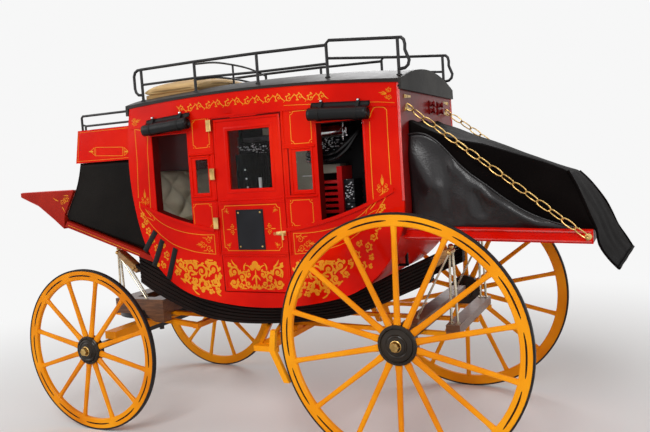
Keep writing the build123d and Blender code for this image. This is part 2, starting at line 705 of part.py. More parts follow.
for name, x, radius, spokes, first_angle, hub_radius in wheel_rows:
    tyre, wood, hub = wheel(radius, spokes, first_angle, hub_radius)
    for side_name, sign in (("left", 1), ("right", -1)):
        for piece, solid in (("tyre", tyre), ("wood", wood), ("hub", hub)):
            placed = solid if sign == 1 else mirror(solid, about=Plane.XZ)
            save("wheel_" + name + "_" + side_name + "_" + piece, Pos(x, 0, radius) * placed)
    hexagon = Pos(0, nut_outer, 0) * (Plane.XZ * extrude(RegularPolygon(nut_radius, 6), nut_length - 0.5))
    nut = hexagon - disc(spindle_radius, hub_outer - 5, nut_outer - 2)
    save(name + "_axle_nuts", both(Pos(x, 0, radius) * nut))

# Inside the cabin: bench and backrest before the front wall
back_shape = poly((525, 372), (525, 468), (490, 468), (478, 372))
backrest = slab(back_shape, -128, 128) & cabin_prism
bench = box(430, 500, -128, 128, 330, 366) & cabin_prism
save("cabin_seat", backrest, bench)

# Circuit board on its tray, with cards and memory modules
board_y = 60.0
board_thin = 2.0
tray_thick = 12.0
inside = cabin_prism & box(0, 500, -200, 200, 262, roof_apex_z - 40)
save("circuit_board", box(30, 330, board_y - board_thin, board_y, 290, 534) & inside)
tray_front = board_y - board_thin
save("board_tray", box(26, 334, tray_front - tray_thick, tray_front, 286, 538) & inside)
cards = [box(190 + 20.32 * i, 200 + 20.32 * i, board_y, board_y + 30, 300, 420) for i in range(4)]
memory = [box(100, 160, board_y, board_y + 32, 380 + 9.9 * i, 384 + 9.9 * i) for i in range(6)]
save("board_cards", cards, memory)

# Cooling: a tank on a bracket and two tubes between two blocks
tank = rod((110, board_y + 26, 520), (158, board_y + 26, 520), 14) + box(120, 148, board_y, board_y + 22, 510, 530)
tubes = [rod((84, board_y + 22, 458 + 14 * i), (172, board_y + 22, 482 + 14 * i), 5) for i in range(2)]
ends = [box(70, 88, board_y, board_y + 28, 450, 480), box(168, 184, board_y, board_y + 28, 474, 504)]
save("cooling", tank, fuse(tubes + ends))
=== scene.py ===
import json
import math

import bmesh
import bpy
from mathutils import Matrix, Vector, noise


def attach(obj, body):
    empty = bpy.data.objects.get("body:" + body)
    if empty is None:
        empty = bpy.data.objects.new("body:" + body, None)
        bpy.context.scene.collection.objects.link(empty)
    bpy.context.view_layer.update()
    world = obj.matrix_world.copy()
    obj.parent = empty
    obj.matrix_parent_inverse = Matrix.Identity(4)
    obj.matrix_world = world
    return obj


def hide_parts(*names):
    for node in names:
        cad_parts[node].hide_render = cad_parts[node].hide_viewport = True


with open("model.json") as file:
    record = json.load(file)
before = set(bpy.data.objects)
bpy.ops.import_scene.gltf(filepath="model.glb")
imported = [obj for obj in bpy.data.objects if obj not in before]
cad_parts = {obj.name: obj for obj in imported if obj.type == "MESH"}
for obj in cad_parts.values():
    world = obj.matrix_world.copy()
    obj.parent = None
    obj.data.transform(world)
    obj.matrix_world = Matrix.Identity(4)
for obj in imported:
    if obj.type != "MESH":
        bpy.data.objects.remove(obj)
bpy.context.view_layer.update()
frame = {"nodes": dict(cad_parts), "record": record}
nodes = frame["nodes"]
materials = {}
SIDES = (("left", 1), ("right", -1))

# Camera at the photograph's place: position in m, then its turn, tilt and roll
CAMERA_PLACE = (-0.590316, 1.121590, 0.465084)
CAMERA_TURN = 0.450114
CAMERA_TILT = -0.078637
CAMERA_ROLL = -0.066864
SENSOR_WIDTH = 36.0
IMAGE_WIDTH = 650.0
FOCAL_PIXELS = 681.497
# Backdrop's colour, the world's light, and the reach in m over which the floor turns into backdrop
BACKDROP = (0.93, 0.93, 0.93, 1)
AMBIENT = 0.36
FADE_FROM = 0.5
FADE_TO = 1.5
FLOOR_HALF = 9.0
# Lamps: name, place, target, size, power
LAMPS = [
    ("key", (-0.7, 2.7, 2.6), (0, 0, 0.3), 1.6, 54),
    ("fill", (2.4, 1.6, 1.4), (0, 0, 0.3), 1.8, 20),
    ("back", (0.4, -2.6, 2.2), (0, 0, 0.3), 1.8, 30),
    ("side", (-2.2, 1.5, 0.8), (-0.2, 0.1, 0.4), 0.7, 8),
]


def add_object(name, data):
    made = bpy.data.objects.new(name, data)
    bpy.context.scene.collection.objects.link(made)
    return made


def make_camera():
    turn, tilt, roll = CAMERA_TURN, CAMERA_TILT, CAMERA_ROLL
    look = Vector((math.sin(turn) * math.cos(tilt), -math.cos(turn) * math.cos(tilt), math.sin(tilt)))
    right = look.cross(Vector((0, 0, 1))).normalized()
    up = right.cross(look)
    across = math.cos(roll) * right + math.sin(roll) * up
    upward = -math.sin(roll) * right + math.cos(roll) * up
    data = bpy.data.cameras.new("camera")
    data.sensor_width = SENSOR_WIDTH
    data.lens = SENSOR_WIDTH * FOCAL_PIXELS / IMAGE_WIDTH
    data.clip_start = 0.05
    data.clip_end = 60.0
    camera = add_object("camera", data)
    facing = Matrix((across, upward, -look)).transposed().to_4x4()
    camera.matrix_world = Matrix.Translation(CAMERA_PLACE) @ facing
    bpy.context.scene.camera = camera


def make_lamps():
    for name, place, target, size, power in LAMPS:
        data = bpy.data.lights.new(name, "AREA")
        data.shape = "DISK"
        data.size = size
        data.energy = power
        lamp = add_object(name, data)
        lamp.location = place
        lamp.rotation_mode = "QUATERNION"
        lamp.rotation_quaternion = (Vector(place) - Vector(target)).to_track_quat("Z", "Y")


def add_node(tree, kind, sockets):
    """A shader node whose sockets take numbers, colours or the outputs of other nodes."""
    made = tree.nodes.new(kind)
    for name, value in sockets.items():
        if isinstance(value, bpy.types.NodeSocket):
            tree.links.new(value, made.inputs[name])
        else:
            made.inputs[name].default_value = value
    return made


def backdrop_rays(tree):
    """1 for camera, glossy and transmission rays, else 0."""
    path = tree.nodes.new("ShaderNodeLightPath")
    value = path.outputs["Is Camera Ray"]
    for other in ("Is Glossy Ray", "Is Transmission Ray"):
        larger = add_node(tree, "ShaderNodeMath", {0: value, 1: path.outputs[other]})
        larger.operation = "MAXIMUM"
        value = larger.outputs[0]
    return value


def make_world():
    world = bpy.data.worlds.new("studio")
    bpy.context.scene.world = world
    world.use_nodes = True
    tree = world.node_tree
    tree.nodes.clear()
    ambient = add_node(tree, "ShaderNodeBackground", {"Color": (1, 1, 1, 1), "Strength": AMBIENT})
    backdrop = add_node(tree, "ShaderNodeBackground", {"Color": BACKDROP, "Strength": 1.0})
    shaders = {0: backdrop_rays(tree), 1: ambient.outputs[0], 2: backdrop.outputs[0]}
    mix = add_node(tree, "ShaderNodeMixShader", shaders)
    add_node(tree, "ShaderNodeOutputWorld", {"Surface": mix.outputs[0]})


def floor_material():
    """A pale floor that keeps its shadow near the coach and turns into the backdrop further out."""
    material = bpy.data.materials.new("floor")
    material.use_nodes = True
    tree = material.node_tree
    shader = tree.nodes["Principled BSDF"]
    shader.inputs["Base Color"].default_value = (0.80, 0.79, 0.78, 1)
    shader.inputs["Roughness"].default_value = 0.9
    shader.inputs["Specular IOR Level"].default_value = 0.1
    where = tree.nodes.new("ShaderNodeTexCoord")
    reach = add_node(tree, "ShaderNodeVectorMath", {0: where.outputs["Object"]})
    reach.operation = "LENGTH"
    range_sockets = {"From Min": FADE_FROM, "From Max": FADE_TO, "Value": reach.outputs["Value"]}
    fade = add_node(tree, "ShaderNodeMapRange", range_sockets)
    fade.interpolation_type = "SMOOTHSTEP"
    share = add_node(tree, "ShaderNodeMath", {0: fade.outputs["Result"], 1: backdrop_rays(tree)})
    share.operation = "MULTIPLY"
    backdrop = add_node(tree, "ShaderNodeEmission", {"Color": BACKDROP})
    shaders = {0: share.outputs[0], 1: shader.outputs[0], 2: backdrop.outputs[0]}
    mix = add_node(tree, "ShaderNodeMixShader", shaders)
    tree.links.new(mix.outputs[0], tree.nodes["Material Output"].inputs["Surface"])
    return material


def make_floor():
    mesh = bpy.data.meshes.new("floor")
    half = FLOOR_HALF
    corners = [(-half, -half, 0), (half, -half, 0), (half, half, 0), (-half, half, 0)]
    mesh.from_pydata(corners, [], [(0, 1, 2, 3)])
    mesh.materials.append(floor_material())
    add_object("floor", mesh)


bpy.context.scene.view_settings.view_transform = "Standard"
make_camera()
make_world()
make_floor()
make_lamps()


class Shade:
    """Builds the node tree of one procedural material."""

    def __init__(self, name):
        material = bpy.data.materials.new(name)
        material.use_nodes = True
        materials[name] = material
        self.tree = material.node_tree
        self.shader = self.tree.nodes["Principled BSDF"]
        self.where = self.tree.nodes.new("ShaderNodeTexCoord").outputs["Object"]

    def set(self, sockets):
        for name, value in sockets.items():
            self.shader.inputs[name].default_value = value

    def noise(self, scale, detail=4.0, rough=0.55, stretch=None):
        source = self.where
        if stretch is not None:
            mapping = add_node(self.tree, "ShaderNodeMapping", {"Scale": stretch, "Vector": source})
            source = mapping.outputs["Vector"]
        sockets = {"Scale": scale, "Detail": detail, "Roughness": rough, "Vector": source}
        return add_node(self.tree, "ShaderNodeTexNoise", sockets).outputs["Fac"]

    def colour(self, value, *stops):
        """The base colour from a ramp, whose stops are (position, linear colour)."""
        ramp = add_node(self.tree, "ShaderNodeValToRGB", {"Fac": value})
        marks = ramp.color_ramp.elements
        while len(marks) < len(stops):
            marks.new(0.5)
        for mark, (place, colour) in zip(marks, stops):
            mark.position = place
            mark.color = (*colour, 1.0)
        self.tree.links.new(ramp.outputs["Color"], self.shader.inputs["Base Color"])

    def roughness(self, value, low, high):
        spread = add_node(self.tree, "ShaderNodeMapRange", {"To Min": low, "To Max": high, "Value": value})
        self.tree.links.new(spread.outputs["Result"], self.shader.inputs["Roughness"])

    def bump(self, value, depth, strength=1.0):
        sockets = {"Distance": depth, "Strength": strength, "Height": value}
        bump = add_node(self.tree, "ShaderNodeBump", sockets)
        self.tree.links.new(bump.outputs["Normal"], self.shader.inputs["Normal"])


def linear(colour):
    """An sRGB colour of 0 to 255 as linear values."""
    shares = [value / 255.0 for value in colour]
    return tuple(c / 12.92 if c <= 0.04045 else ((c + 0.055) / 1.055) ** 2.4 for c in shares)


def painted(name, dark, main, light, rough=0.3, coat=0.5, specular=0.05):
    shade = Shade(name)
    shade.colour(shade.noise(7.0, 3.0), (0.3, linear(dark)), (0.5, linear(main)), (0.72, linear(light)))
    shade.roughness(shade.noise(160.0, 3.0), rough - 0.07, rough + 0.1)
    shade.bump(shade.noise(420.0, 2.0), 0.00006)
    shade.set({"Coat Weight": coat, "Coat Roughness": 0.12, "Specular IOR Level": specular})


def wooden(name, dark, main, light):
    shade = Shade(name)
    grain = shade.noise(14.0, 6.0, 0.6, (3, 30, 30))
    shade.colour(grain, (0.28, linear(dark)), (0.5, linear(main)), (0.75, linear(light)))
    shade.roughness(grain, 0.5, 0.35)
    shade.bump(grain, 0.0002, 0.6)
    shade.set({"Coat Weight": 0.3, "Coat Roughness": 0.2})


def metallic(name, dark, main, rough=0.3, metal=1.0):
    shade = Shade(name)
    shade.colour(shade.noise(60.0, 4.0), (0.3, linear(dark)), (0.62, linear(main)))
    shade.roughness(shade.noise(220.0, 3.0), rough - 0.08, rough + 0.14)
    shade.bump(shade.noise(380.0, 3.0), 0.00008)
    shade.set({"Metallic": metal})


def leathery(name, dark, main, rough=0.42, specular=0.25, grain=0.0003):
    shade = Shade(name)
    shade.colour(shade.noise(9.0, 4.0), (0.3, linear(dark)), (0.7, linear(main)))
    cells = add_node(shade.tree, "ShaderNodeTexVoronoi", {"Scale": 330.0, "Vector": shade.where})
    shade.bump(cells.outputs["Distance"], grain, 0.5)
    shade.roughness(shade.noise(40.0, 4.0), rough - 0.08, rough + 0.12)
    shade.set({"Specular IOR Level": specular})


def glassy(name):
    shade = Shade(name)
    shade.colour(shade.noise(30.0), (0.3, (0.93, 0.96, 0.95)), (0.7, (0.99, 1.0, 0.99)))
    shade.bump(shade.noise(12.0, 2.0), 0.0004, 0.2)
    shade.set({"Roughness": 0.03, "Transmission Weight": 1.0, "IOR": 1.16, "Specular IOR Level": 0.3})


# Dark, main and light sRGB colour, then roughness, coat and specular level
PAINTS = {
    "red_paint": ((192, 10, 2), (214, 18, 3), (226, 34, 8), 0.34, 0.1, 0.03),
    "orange_paint": ((218, 122, 10), (244, 150, 14), (255, 172, 26), 0.4, 0.1),
    "gold_leaf": ((196, 110, 10), (228, 146, 26), (244, 172, 50), 0.45, 0.1, 0.1),
    "stripe_black": ((20, 10, 6), (34, 18, 10), (50, 28, 16), 0.4, 0.1),
    "plate_black": ((22, 22, 25), (36, 37, 42), (50, 51, 58), 0.34, 0.2),
    "hub_black": ((18, 13, 8), (34, 25, 16), (52, 40, 26), 0.34, 0.2, 0.2),
    # Darker red of the footboard: painted shade
    "painted_shade_brick_red": ((132, 22, 12), (156, 28, 15), (176, 42, 24), 0.36, 0.1),
    # Lighter, pinker red with a full coat for beads: its gloss is real, its lighter colour is painted
    # highlight
    "gloss_red_painted_highlight": ((186, 22, 14), (208, 32, 22), (222, 52, 38), 0.14, 1.0, 0.5),
    "dark_red": ((78, 6, 6), (108, 10, 10), (130, 18, 16), 0.3, 0.3),
    # Darker red of the end walls: painted shade
    "painted_shade_wall_red": ((104, 14, 13), (128, 19, 17), (146, 32, 27), 0.34, 0.15, 0.08),
    # Dark red for painted shade in the openings and beside the door
    "painted_shade_red": ((70, 4, 3), (92, 7, 4), (112, 12, 8), 0.5, 0.0),
    "pale_card": ((118, 114, 102), (140, 136, 122), (156, 152, 140), 0.6, 0.0, 0.1),
    "label_white": ((196, 198, 200), (214, 216, 220), (228, 230, 234), 0.5, 0.0, 0.1),
    "chip_black": ((8, 8, 10), (18, 18, 20), (34, 34, 38), 0.4, 0.2),
    "slot_red": ((120, 8, 10), (168, 14, 16), (190, 30, 30), 0.4, 0.2),
    "tube_black": ((6, 6, 7), (14, 14, 15), (26, 26, 28), 0.24, 0.6),
    "grey_panel": ((40, 39, 37), (56, 54, 52), (72, 70, 66), 0.5, 0.05),
    "board": ((14, 14, 15), (24, 24, 26), (40, 40, 42), 0.5, 0.0),
    "cards": ((120, 14, 18), (170, 22, 26), (190, 40, 40), 0.4, 0.1),
}
WOODS = {
    "bed_wood": ((58, 32, 16), (92, 56, 30), (122, 80, 46)),
    "link_wood": ((120, 84, 40), (160, 116, 58), (190, 146, 84)),
    "floor_wood": ((60, 34, 22), (92, 56, 34), (122, 80, 50)),
}
# Dark and main sRGB colour, then roughness and the share of metal
METALS = {
    "tyre_iron": ((16, 15, 16), (40, 37, 36), 0.5, 0.6),
    "black_iron": ((12, 10, 11), (26, 23, 24), 0.36, 0.3),
    "brass": ((150, 116, 64), (222, 186, 118)),
    "dull_metal": ((36, 37, 40), (86, 88, 94), 0.36, 0.7),
    "chrome": ((190, 190, 192), (235, 235, 238), 0.14),
    "tray": ((20, 20, 22), (36, 36, 38), 0.4, 0.5),
    "cooling": ((140, 142, 146), (206, 208, 210), 0.22),
    "rod_steel": ((150, 140, 118), (220, 212, 190), 0.25),
}
# Dark and main sRGB colour, then roughness, specular level and the grain's depth in m
LEATHERS = {
    "leather": ((14, 14, 16), (30, 30, 33), 0.42, 0.25, 0.00035),
    "boot_leather": ((6, 4, 4), (17, 13, 12), 0.6, 0.02),
    "boot_sheen": ((8, 7, 9), (30, 26, 27), 0.3, 0.42),
    "front_leather": ((9, 7, 6), (22, 18, 15), 0.5, 0.06),
    "roll_leather": ((4, 4, 5), (12, 12, 13), 0.34, 0.22),
    "strap_leather": ((12, 8, 7), (30, 18, 14), 0.55, 0.12),
    "leather_black": ((8, 7, 7), (18, 15, 14), 0.45, 0.2),
    "roof_cloth": ((16, 11, 9), (32, 23, 19), 0.42, 0.22, 0.0002),
    "tan_board": ((150, 112, 66), (186, 148, 94), 0.5, 0.25, 0.00035),
    "tan_seat": ((206, 162, 104), (244, 206, 146), 0.5, 0.2),
    "beige_cushion": ((172, 164, 140), (214, 206, 182), 0.5, 0.2),
}
# Nodes in darker copies of the body's red: painted shade on the footboard and on the end walls
NODES_IN_PAINTED_SHADE = {"footboard": "painted_shade_brick_red", "end_walls": "painted_shade_wall_red"}

for make_one, table in ((painted, PAINTS), (wooden, WOODS), (metallic, METALS), (leathery, LEATHERS)):
    for name, row in table.items():
        make_one(name, *row)
glassy("glass")

for part in frame["record"]["subparts"]:
    mesh = nodes[part["node"]].data
    mesh.materials.clear()
    mesh.materials.append(materials[NODES_IN_PAINTED_SHADE.get(part["node"], part["material_slot"])])


# The coach's X runs forward from the rear axle, in mm; the frame's middle lies at MID_X
MID_X = 251.0
HALF_WIDTH = 154.0
PLAN_RADIUS = 6864.0
BODY_MID_X = 258.5
REAR_WALL_X = -3.0
# The side draws in by SWELL_IN at SWELL_REACH over or under its broadest height
SWELL_Z = 410.0
SWELL_IN = 4.5
SWELL_REACH = 190.0
ROOF_TOP_Z = 596.5
ROOF_TOP_X = 300.0
ROOF_CAMBER = 6000.0
ROOF_CROWN = 25.0
ROOF_HALF = 150.0
BELT_RADIUS = 544.5
BELT_LOW_X = 261.5
BELT_LOW_Z = 353.0
# Arcs of the side outline from the rear wall's foot on: radius, turn in degrees
OUTLINE_START = (REAR_WALL_X, 399.0)
OUTLINE_ARCS = ((157.0, 75.0), (570.0, 27.5), (160.0, 62.5), (496.0, 28.5))
ARC_STEPS = 14


def to_frame(point):
    """A place in mm, with X from the rear axle, in the frame's metres."""
    return ((point[0] - MID_X) / 1000.0, point[1] / 1000.0, point[2] / 1000.0)


def side_y(x, z):
    """Half width of the bowed body at a place on its side."""
    swell = PLAN_RADIUS - SWELL_IN * ((z - SWELL_Z) / SWELL_REACH) ** 2
    return math.sqrt(swell ** 2 - (x - BODY_MID_X) ** 2) + HALF_WIDTH - PLAN_RADIUS


def belt_z(x):
    """Lower edge of the belt moulding."""
    return BELT_LOW_Z + BELT_RADIUS - math.sqrt(BELT_RADIUS ** 2 - (x - BELT_LOW_X) ** 2)


def roof_z(x, y):
    """The roof's upper face."""
    return ROOF_TOP_Z - (x - ROOF_TOP_X) ** 2 / ROOF_CAMBER + ROOF_CROWN * (1 - (y / ROOF_HALF) ** 2)


def on_side(sign, extra=0.0):
    """The bowed side: u is along, v is up."""
    return lambda u, v, lift: (u, sign * (side_y(u, v) + extra + lift), v)


def on_wall(x, facing):
    """A wall across the coach: u is across, v is up."""
    return lambda u, v, lift: (x + facing * lift, u, v)


def on_flank(y):
    """A flat wall along the coach's left: u is along, v is up."""
    return lambda u, v, lift: (u, y + lift, v)


def at_y(y, path):
    """A path of (x, z) as points at one y."""
    return [(x, y, z) for x, z in path]


def smooth(points, steps=6):
    """A curve through the points, with steps to each span."""
    out = []
    for i in range(len(points) - 1):
        p1 = Vector(points[i])
        p2 = Vector(points[i + 1])
        p0 = Vector(points[i - 1]) if i > 0 else p1 * 2 - p2
        p3 = Vector(points[i + 2]) if i + 2 < len(points) else p2 * 2 - p1
        for k in range(steps):
            t = k / steps
            a = p1 * 2 + (p2 - p0) * t
            b = (p0 * 2 - p1 * 5 + p2 * 4 - p3) * t * t
            c = (p1 * 3 - p0 - p2 * 3 + p3) * t ** 3
            out.append(tuple((a + b + c) / 2))
    return out + [tuple(points[-1])]


def polar(u, v, radius, degrees):
    """The place at a distance and an angle from another."""
    a = math.radians(degrees)
    return (u + radius * math.cos(a), v + radius * math.sin(a))


def circle(radius, count):
    return [polar(0.0, 0.0, radius, 360.0 * i / count) for i in range(count)]


def leaf_taper(t):
    """A leaf's share of its full width, from its foot at 0 to its point at 1."""
    return 0.12 + 0.88 * math.sin(math.pi * (0.18 + 0.82 * t)) ** 0.8


# Sections of a strip on a surface, as (across, up)
ROUND_TOP = [(-0.5, -1.0), (-0.44, 0.45), (-0.2, 0.95), (0.2, 0.95), (0.44, 0.45), (0.5, -1.0)]
FLAT_TOP = [(-0.5, -1.0), (-0.5, 0.7), (-0.4, 1.0), (0.4, 1.0), (0.5, 0.7), (0.5, -1.0)]


class Build:
    """Gathers points in mm and faces, and makes one piece of them."""

    def __init__(self, spot=None):
        self.points = []
        self.faces = []
        self.spot = spot

    def loft(self, rings, closed=True, caps=True, looped=False):
        base = len(self.points)
        count = len(rings[0])
        for ring in rings:
            self.points.extend(tuple(p) for p in ring)
        total = len(rings)
        for i in range(total if looped else total - 1):
            a = base + i * count
            b = base + ((i + 1) % total) * count
            for j in range(count if closed else count - 1):
                k = (j + 1) % count
                self.faces.append((a + j, a + k, b + k, b + j))
        if caps and closed and not looped:
            self.faces.append(tuple(base + j for j in reversed(range(count))))
            self.faces.append(tuple(base + (total - 1) * count + j for j in range(count)))

    def skin(self, rings):
        """An open surface over the rings."""
        self.loft(rings, closed=False, caps=False)

    def box(self, x0, x1, y0, y1, z0, z1, cut):
        """A box with its long edges cut by a small bevel."""
        low = [(y0 + cut, z0), (y1 - cut, z0), (y1, z0 + cut), (y1, z1 - cut)]
        high = [(y1 - cut, z1), (y0 + cut, z1), (y0, z1 - cut), (y0, z0 + cut)]
        self.loft([[(x, y, z) for y, z in low + high] for x in (x0, x1)])

    def tube(self, path, radius, sides=10, closed=False):
        """A round rod along the path; radius may be a list."""
        path = [Vector(p) for p in path]
        count = len(path)
        normal = None
        rings = []
        for i, point in enumerate(path):
            before = path[i - 1] if closed or i > 0 else point
            after = path[(i + 1) % count] if closed or i < count - 1 else point
            run = (after - before).normalized()
            if normal is None:
                normal = run.orthogonal().normalized()
                if abs(run.y) < 0.9:
                    normal = run.cross(Vector((0, 1, 0))).normalized()
            normal = (normal - run * normal.dot(run)).normalized()
            second = run.cross(normal)
            r = radius[i] if isinstance(radius, list) else radius
            rings.append([point + normal * a * r + second * b * r for a, b in circle(1.0, sides)])
        self.loft(rings, looped=closed)

    def lathe(self, profile, centre, axis="y", sides=32, sign=1, closed=False):
        """Turns a profile of (radius, along) about an axis through centre."""
        rings = []
        for i in range(sides):
            a = math.tau * i / sides
            ring = []
            for radius, along in profile:
                p, q, w = radius * math.sin(a), radius * math.cos(a), along * sign
                shift = {"y": (p, w, q), "x": (w, p, q), "z": (p, q, w)}[axis]
                ring.append(tuple(c + s for c, s in zip(centre, shift)))
            rings.append(ring)
        self.loft(rings, closed=closed, looped=True)

    def ball(self, centre, radius, tall=1.0, sides=14):
        turns = [math.pi * i / 8 for i in range(9)]
        profile = [(radius * math.sin(a) + 0.0001, -radius * tall * math.cos(a)) for a in turns]
        self.lathe(profile, centre, "z", sides)

    def line(self, path, width=1.0, high=0.3, closed=False, taper=None, profile=ROUND_TOP):
        """A strip along a 2-D path on the surface, mitred at its corners."""
        count = len(path)
        rings = []
        for i, (u, v) in enumerate(path):
            runs = []
            for j, k in ((i - 1, i), (i, i + 1)):
                if closed or (j >= 0 and k < count):
                    step = Vector(path[k % count]) - Vector(path[j % count])
                    if step.length > 1e-6:
                        runs.append(step.normalized())
            mean = sum(runs, Vector((0, 0)))
            mean = mean.normalized() if mean.length > 1e-6 else runs[0]
            side = Vector((-mean.y, mean.x))
            size = width / max(0.45, mean.dot(runs[0]))
            rise = high
            if taper is not None:
                share = taper(i / (count - 1))
                size *= share
                rise *= min(1.0, 0.4 + share)
            ring = []
            for a, b in profile:
                tall = b * rise if b > 0 else -0.4
                ring.append(self.spot(u + side.x * a * size, v + side.y * a * size, tall))
            rings.append(ring)
        self.loft(rings, looped=closed)

    def band(self, path, width, high, taper=None):
        """A strip with a flat top."""
        self.line(path, width, high, taper=taper, profile=FLAT_TOP)

    def dot(self, u, v, radius, high=0.5, sides=10):
        """A low domed stud on the surface."""
        rings = []
        for share, rise in ((1.0, -0.4), (1.0, 0.2 * high), (0.75, 0.75 * high), (0.3, high)):
            rings.append([self.spot(u + a * share, v + b * share, rise) for a, b in circle(radius, sides)])
        self.loft(rings)

    def leaf(self, u, v, angle, length, bend, width):
        """A leaf stroke that bends as it goes, and comes to a point."""
        path = [(u, v)]
        for k in range(1, 7):
            path.append(polar(*path[-1], length / 6, angle + bend * k / 6))
        self.line(path, width, 0.35, taper=leaf_taper)

    def curl(self, u, v, size, start, hand, width=1.4, leaves=4, turns=1.35):
        """A scroll that winds inwards to a bud, with leaves off its back."""
        shares = [i / 24 for i in range(25)]
        path = [polar(u, v, size * (1 - 0.8 * t), start + hand * t * turns * 360.0) for t in shares]
        self.line(path, width, 0.4, taper=lambda t: 1.0 - 0.45 * t)
        self.dot(u, v, width * 0.8, 0.5)
        for k in range(leaves):
            a = start + hand * (12 + 58 * k)
            base = polar(u, v, size * (0.98 - 0.09 * k), a)
            self.leaf(*base, a + hand * 20, size * (0.7 - 0.07 * k), hand * 75, width * 1.25)

    def spray(self, u, v, angle, size, width=1.2, side=38):
        """Three leaves from one point, with two small curls at their foot."""
        self.leaf(u, v, angle, size, 0, width * 1.4)
        for hand in (-1, 1):
            self.leaf(u, v, angle + hand * side, size * 0.72, -hand * 40, width * 1.1)
            foot = polar(u, v, size * 0.3, angle + hand * 100)
            self.curl(*foot, size * 0.2, angle, hand, width * 0.55, 0)

    def scrolls(self, rows, widths, limit):
        """Curls from rows; those over the limit in size take the first width."""
        for u, v, size, start, hand, leaves in rows:
            self.curl(u, v, size, start, hand, widths[0] if size > limit else widths[1], leaves)

    def leaves(self, rows, longer=1.0, wider=1.0):
        for u, v, angle, length, bend, width in rows:
            self.leaf(u, v, angle, length * longer, bend, width * wider)

    def also(self, other):
        base = len(self.points)
        self.points.extend(other.points)
        self.faces.extend(tuple(base + i for i in face) for face in other.faces)

    def mirrored(self):
        """Adds the same on the coach's other side."""
        base = len(self.points)
        self.points.extend([(p[0], -p[1], p[2]) for p in self.points])
        self.faces.extend([tuple(base + i for i in reversed(face)) for face in self.faces])
        return self

    def make(self, name, material, body="coach", slot=None, replaces=(), angle=32.0):
        mesh = bpy.data.meshes.new(name)
        mesh.from_pydata([to_frame(p) for p in self.points], [], self.faces)
        face_outwards(mesh)
        mesh.shade_smooth()
        mesh.set_sharp_from_angle(angle=math.radians(angle))
        mesh.materials.append(materials[material])
        piece = add_object(name, mesh)
        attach(piece, body)
        if replaces:
            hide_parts(*replaces)
        return piece


def face_outwards(mesh, join=False):
    """Turns the faces outwards, and joins the points that lie on each other where asked."""
    work = bmesh.new()
    work.from_mesh(mesh)
    if join:
        bmesh.ops.remove_doubles(work, verts=work.verts, dist=0.00001)
    bmesh.ops.recalc_face_normals(work, faces=work.faces)
    work.to_mesh(mesh)
    work.free()


# Wheels: centre x, radius, spokes, angle of the first spoke from upright, hub radius
WHEELS = {
    "rear": (0.0, 193.7, 14, -1.2, 30.0),
    "front": (602.0, 150.0, 12, -12.7, 26.0),
}
TRACK_HALF = 204.0
TYRE_THICK = 2.6
FELLOE_DEPTH = 17.5
FELLOE_FACE = 4.0
STRIPE_GAP = 0.12
STRIPE_WIDTH = 2.9
RIM_SIDES = 112
HUB_SIDES = 48
SPOKE_OUTLINE = [(-1, -0.45), (-0.6, -1), (0.6, -1), (1, -0.45), (1, 0.45), (0.6, 1), (-0.6, 1), (-1, 0.45)]
# Hub's section as (radius, y), inside and outside of its broad band
HUB_INNER = [(4.06, 184.0), (13.0, 184.0), (14.0, 185.0), (14.6, 190.0), (16.5, 193.0)]
HUB_OUTER = [(19.5, 212.3), (18.4, 212.8), (17.0, 213.0), (15.4, 212.2)]
HUB_OUTER += [(14.0, 213.0), (13.4, 214.4), (11.5, 215.0), (4.06, 215.0)]
HUB_RING = [(7.6, 214.6), (8.6, 214.8), (8.8, 216.0), (8.0, 216.6), (7.2, 216.2)]
RIVET = [(1.5, 0.0), (1.4, 0.6), (0.7, 1.0), (0.01, 1.1)]


def both_faces(half):
    """A rim's whole section from its inner half of (radius, distance from the middle plane)."""
    whole = half + [(r, -y) for r, y in reversed(half)]
    return [(r, y + TRACK_HALF) for r, y in whole]


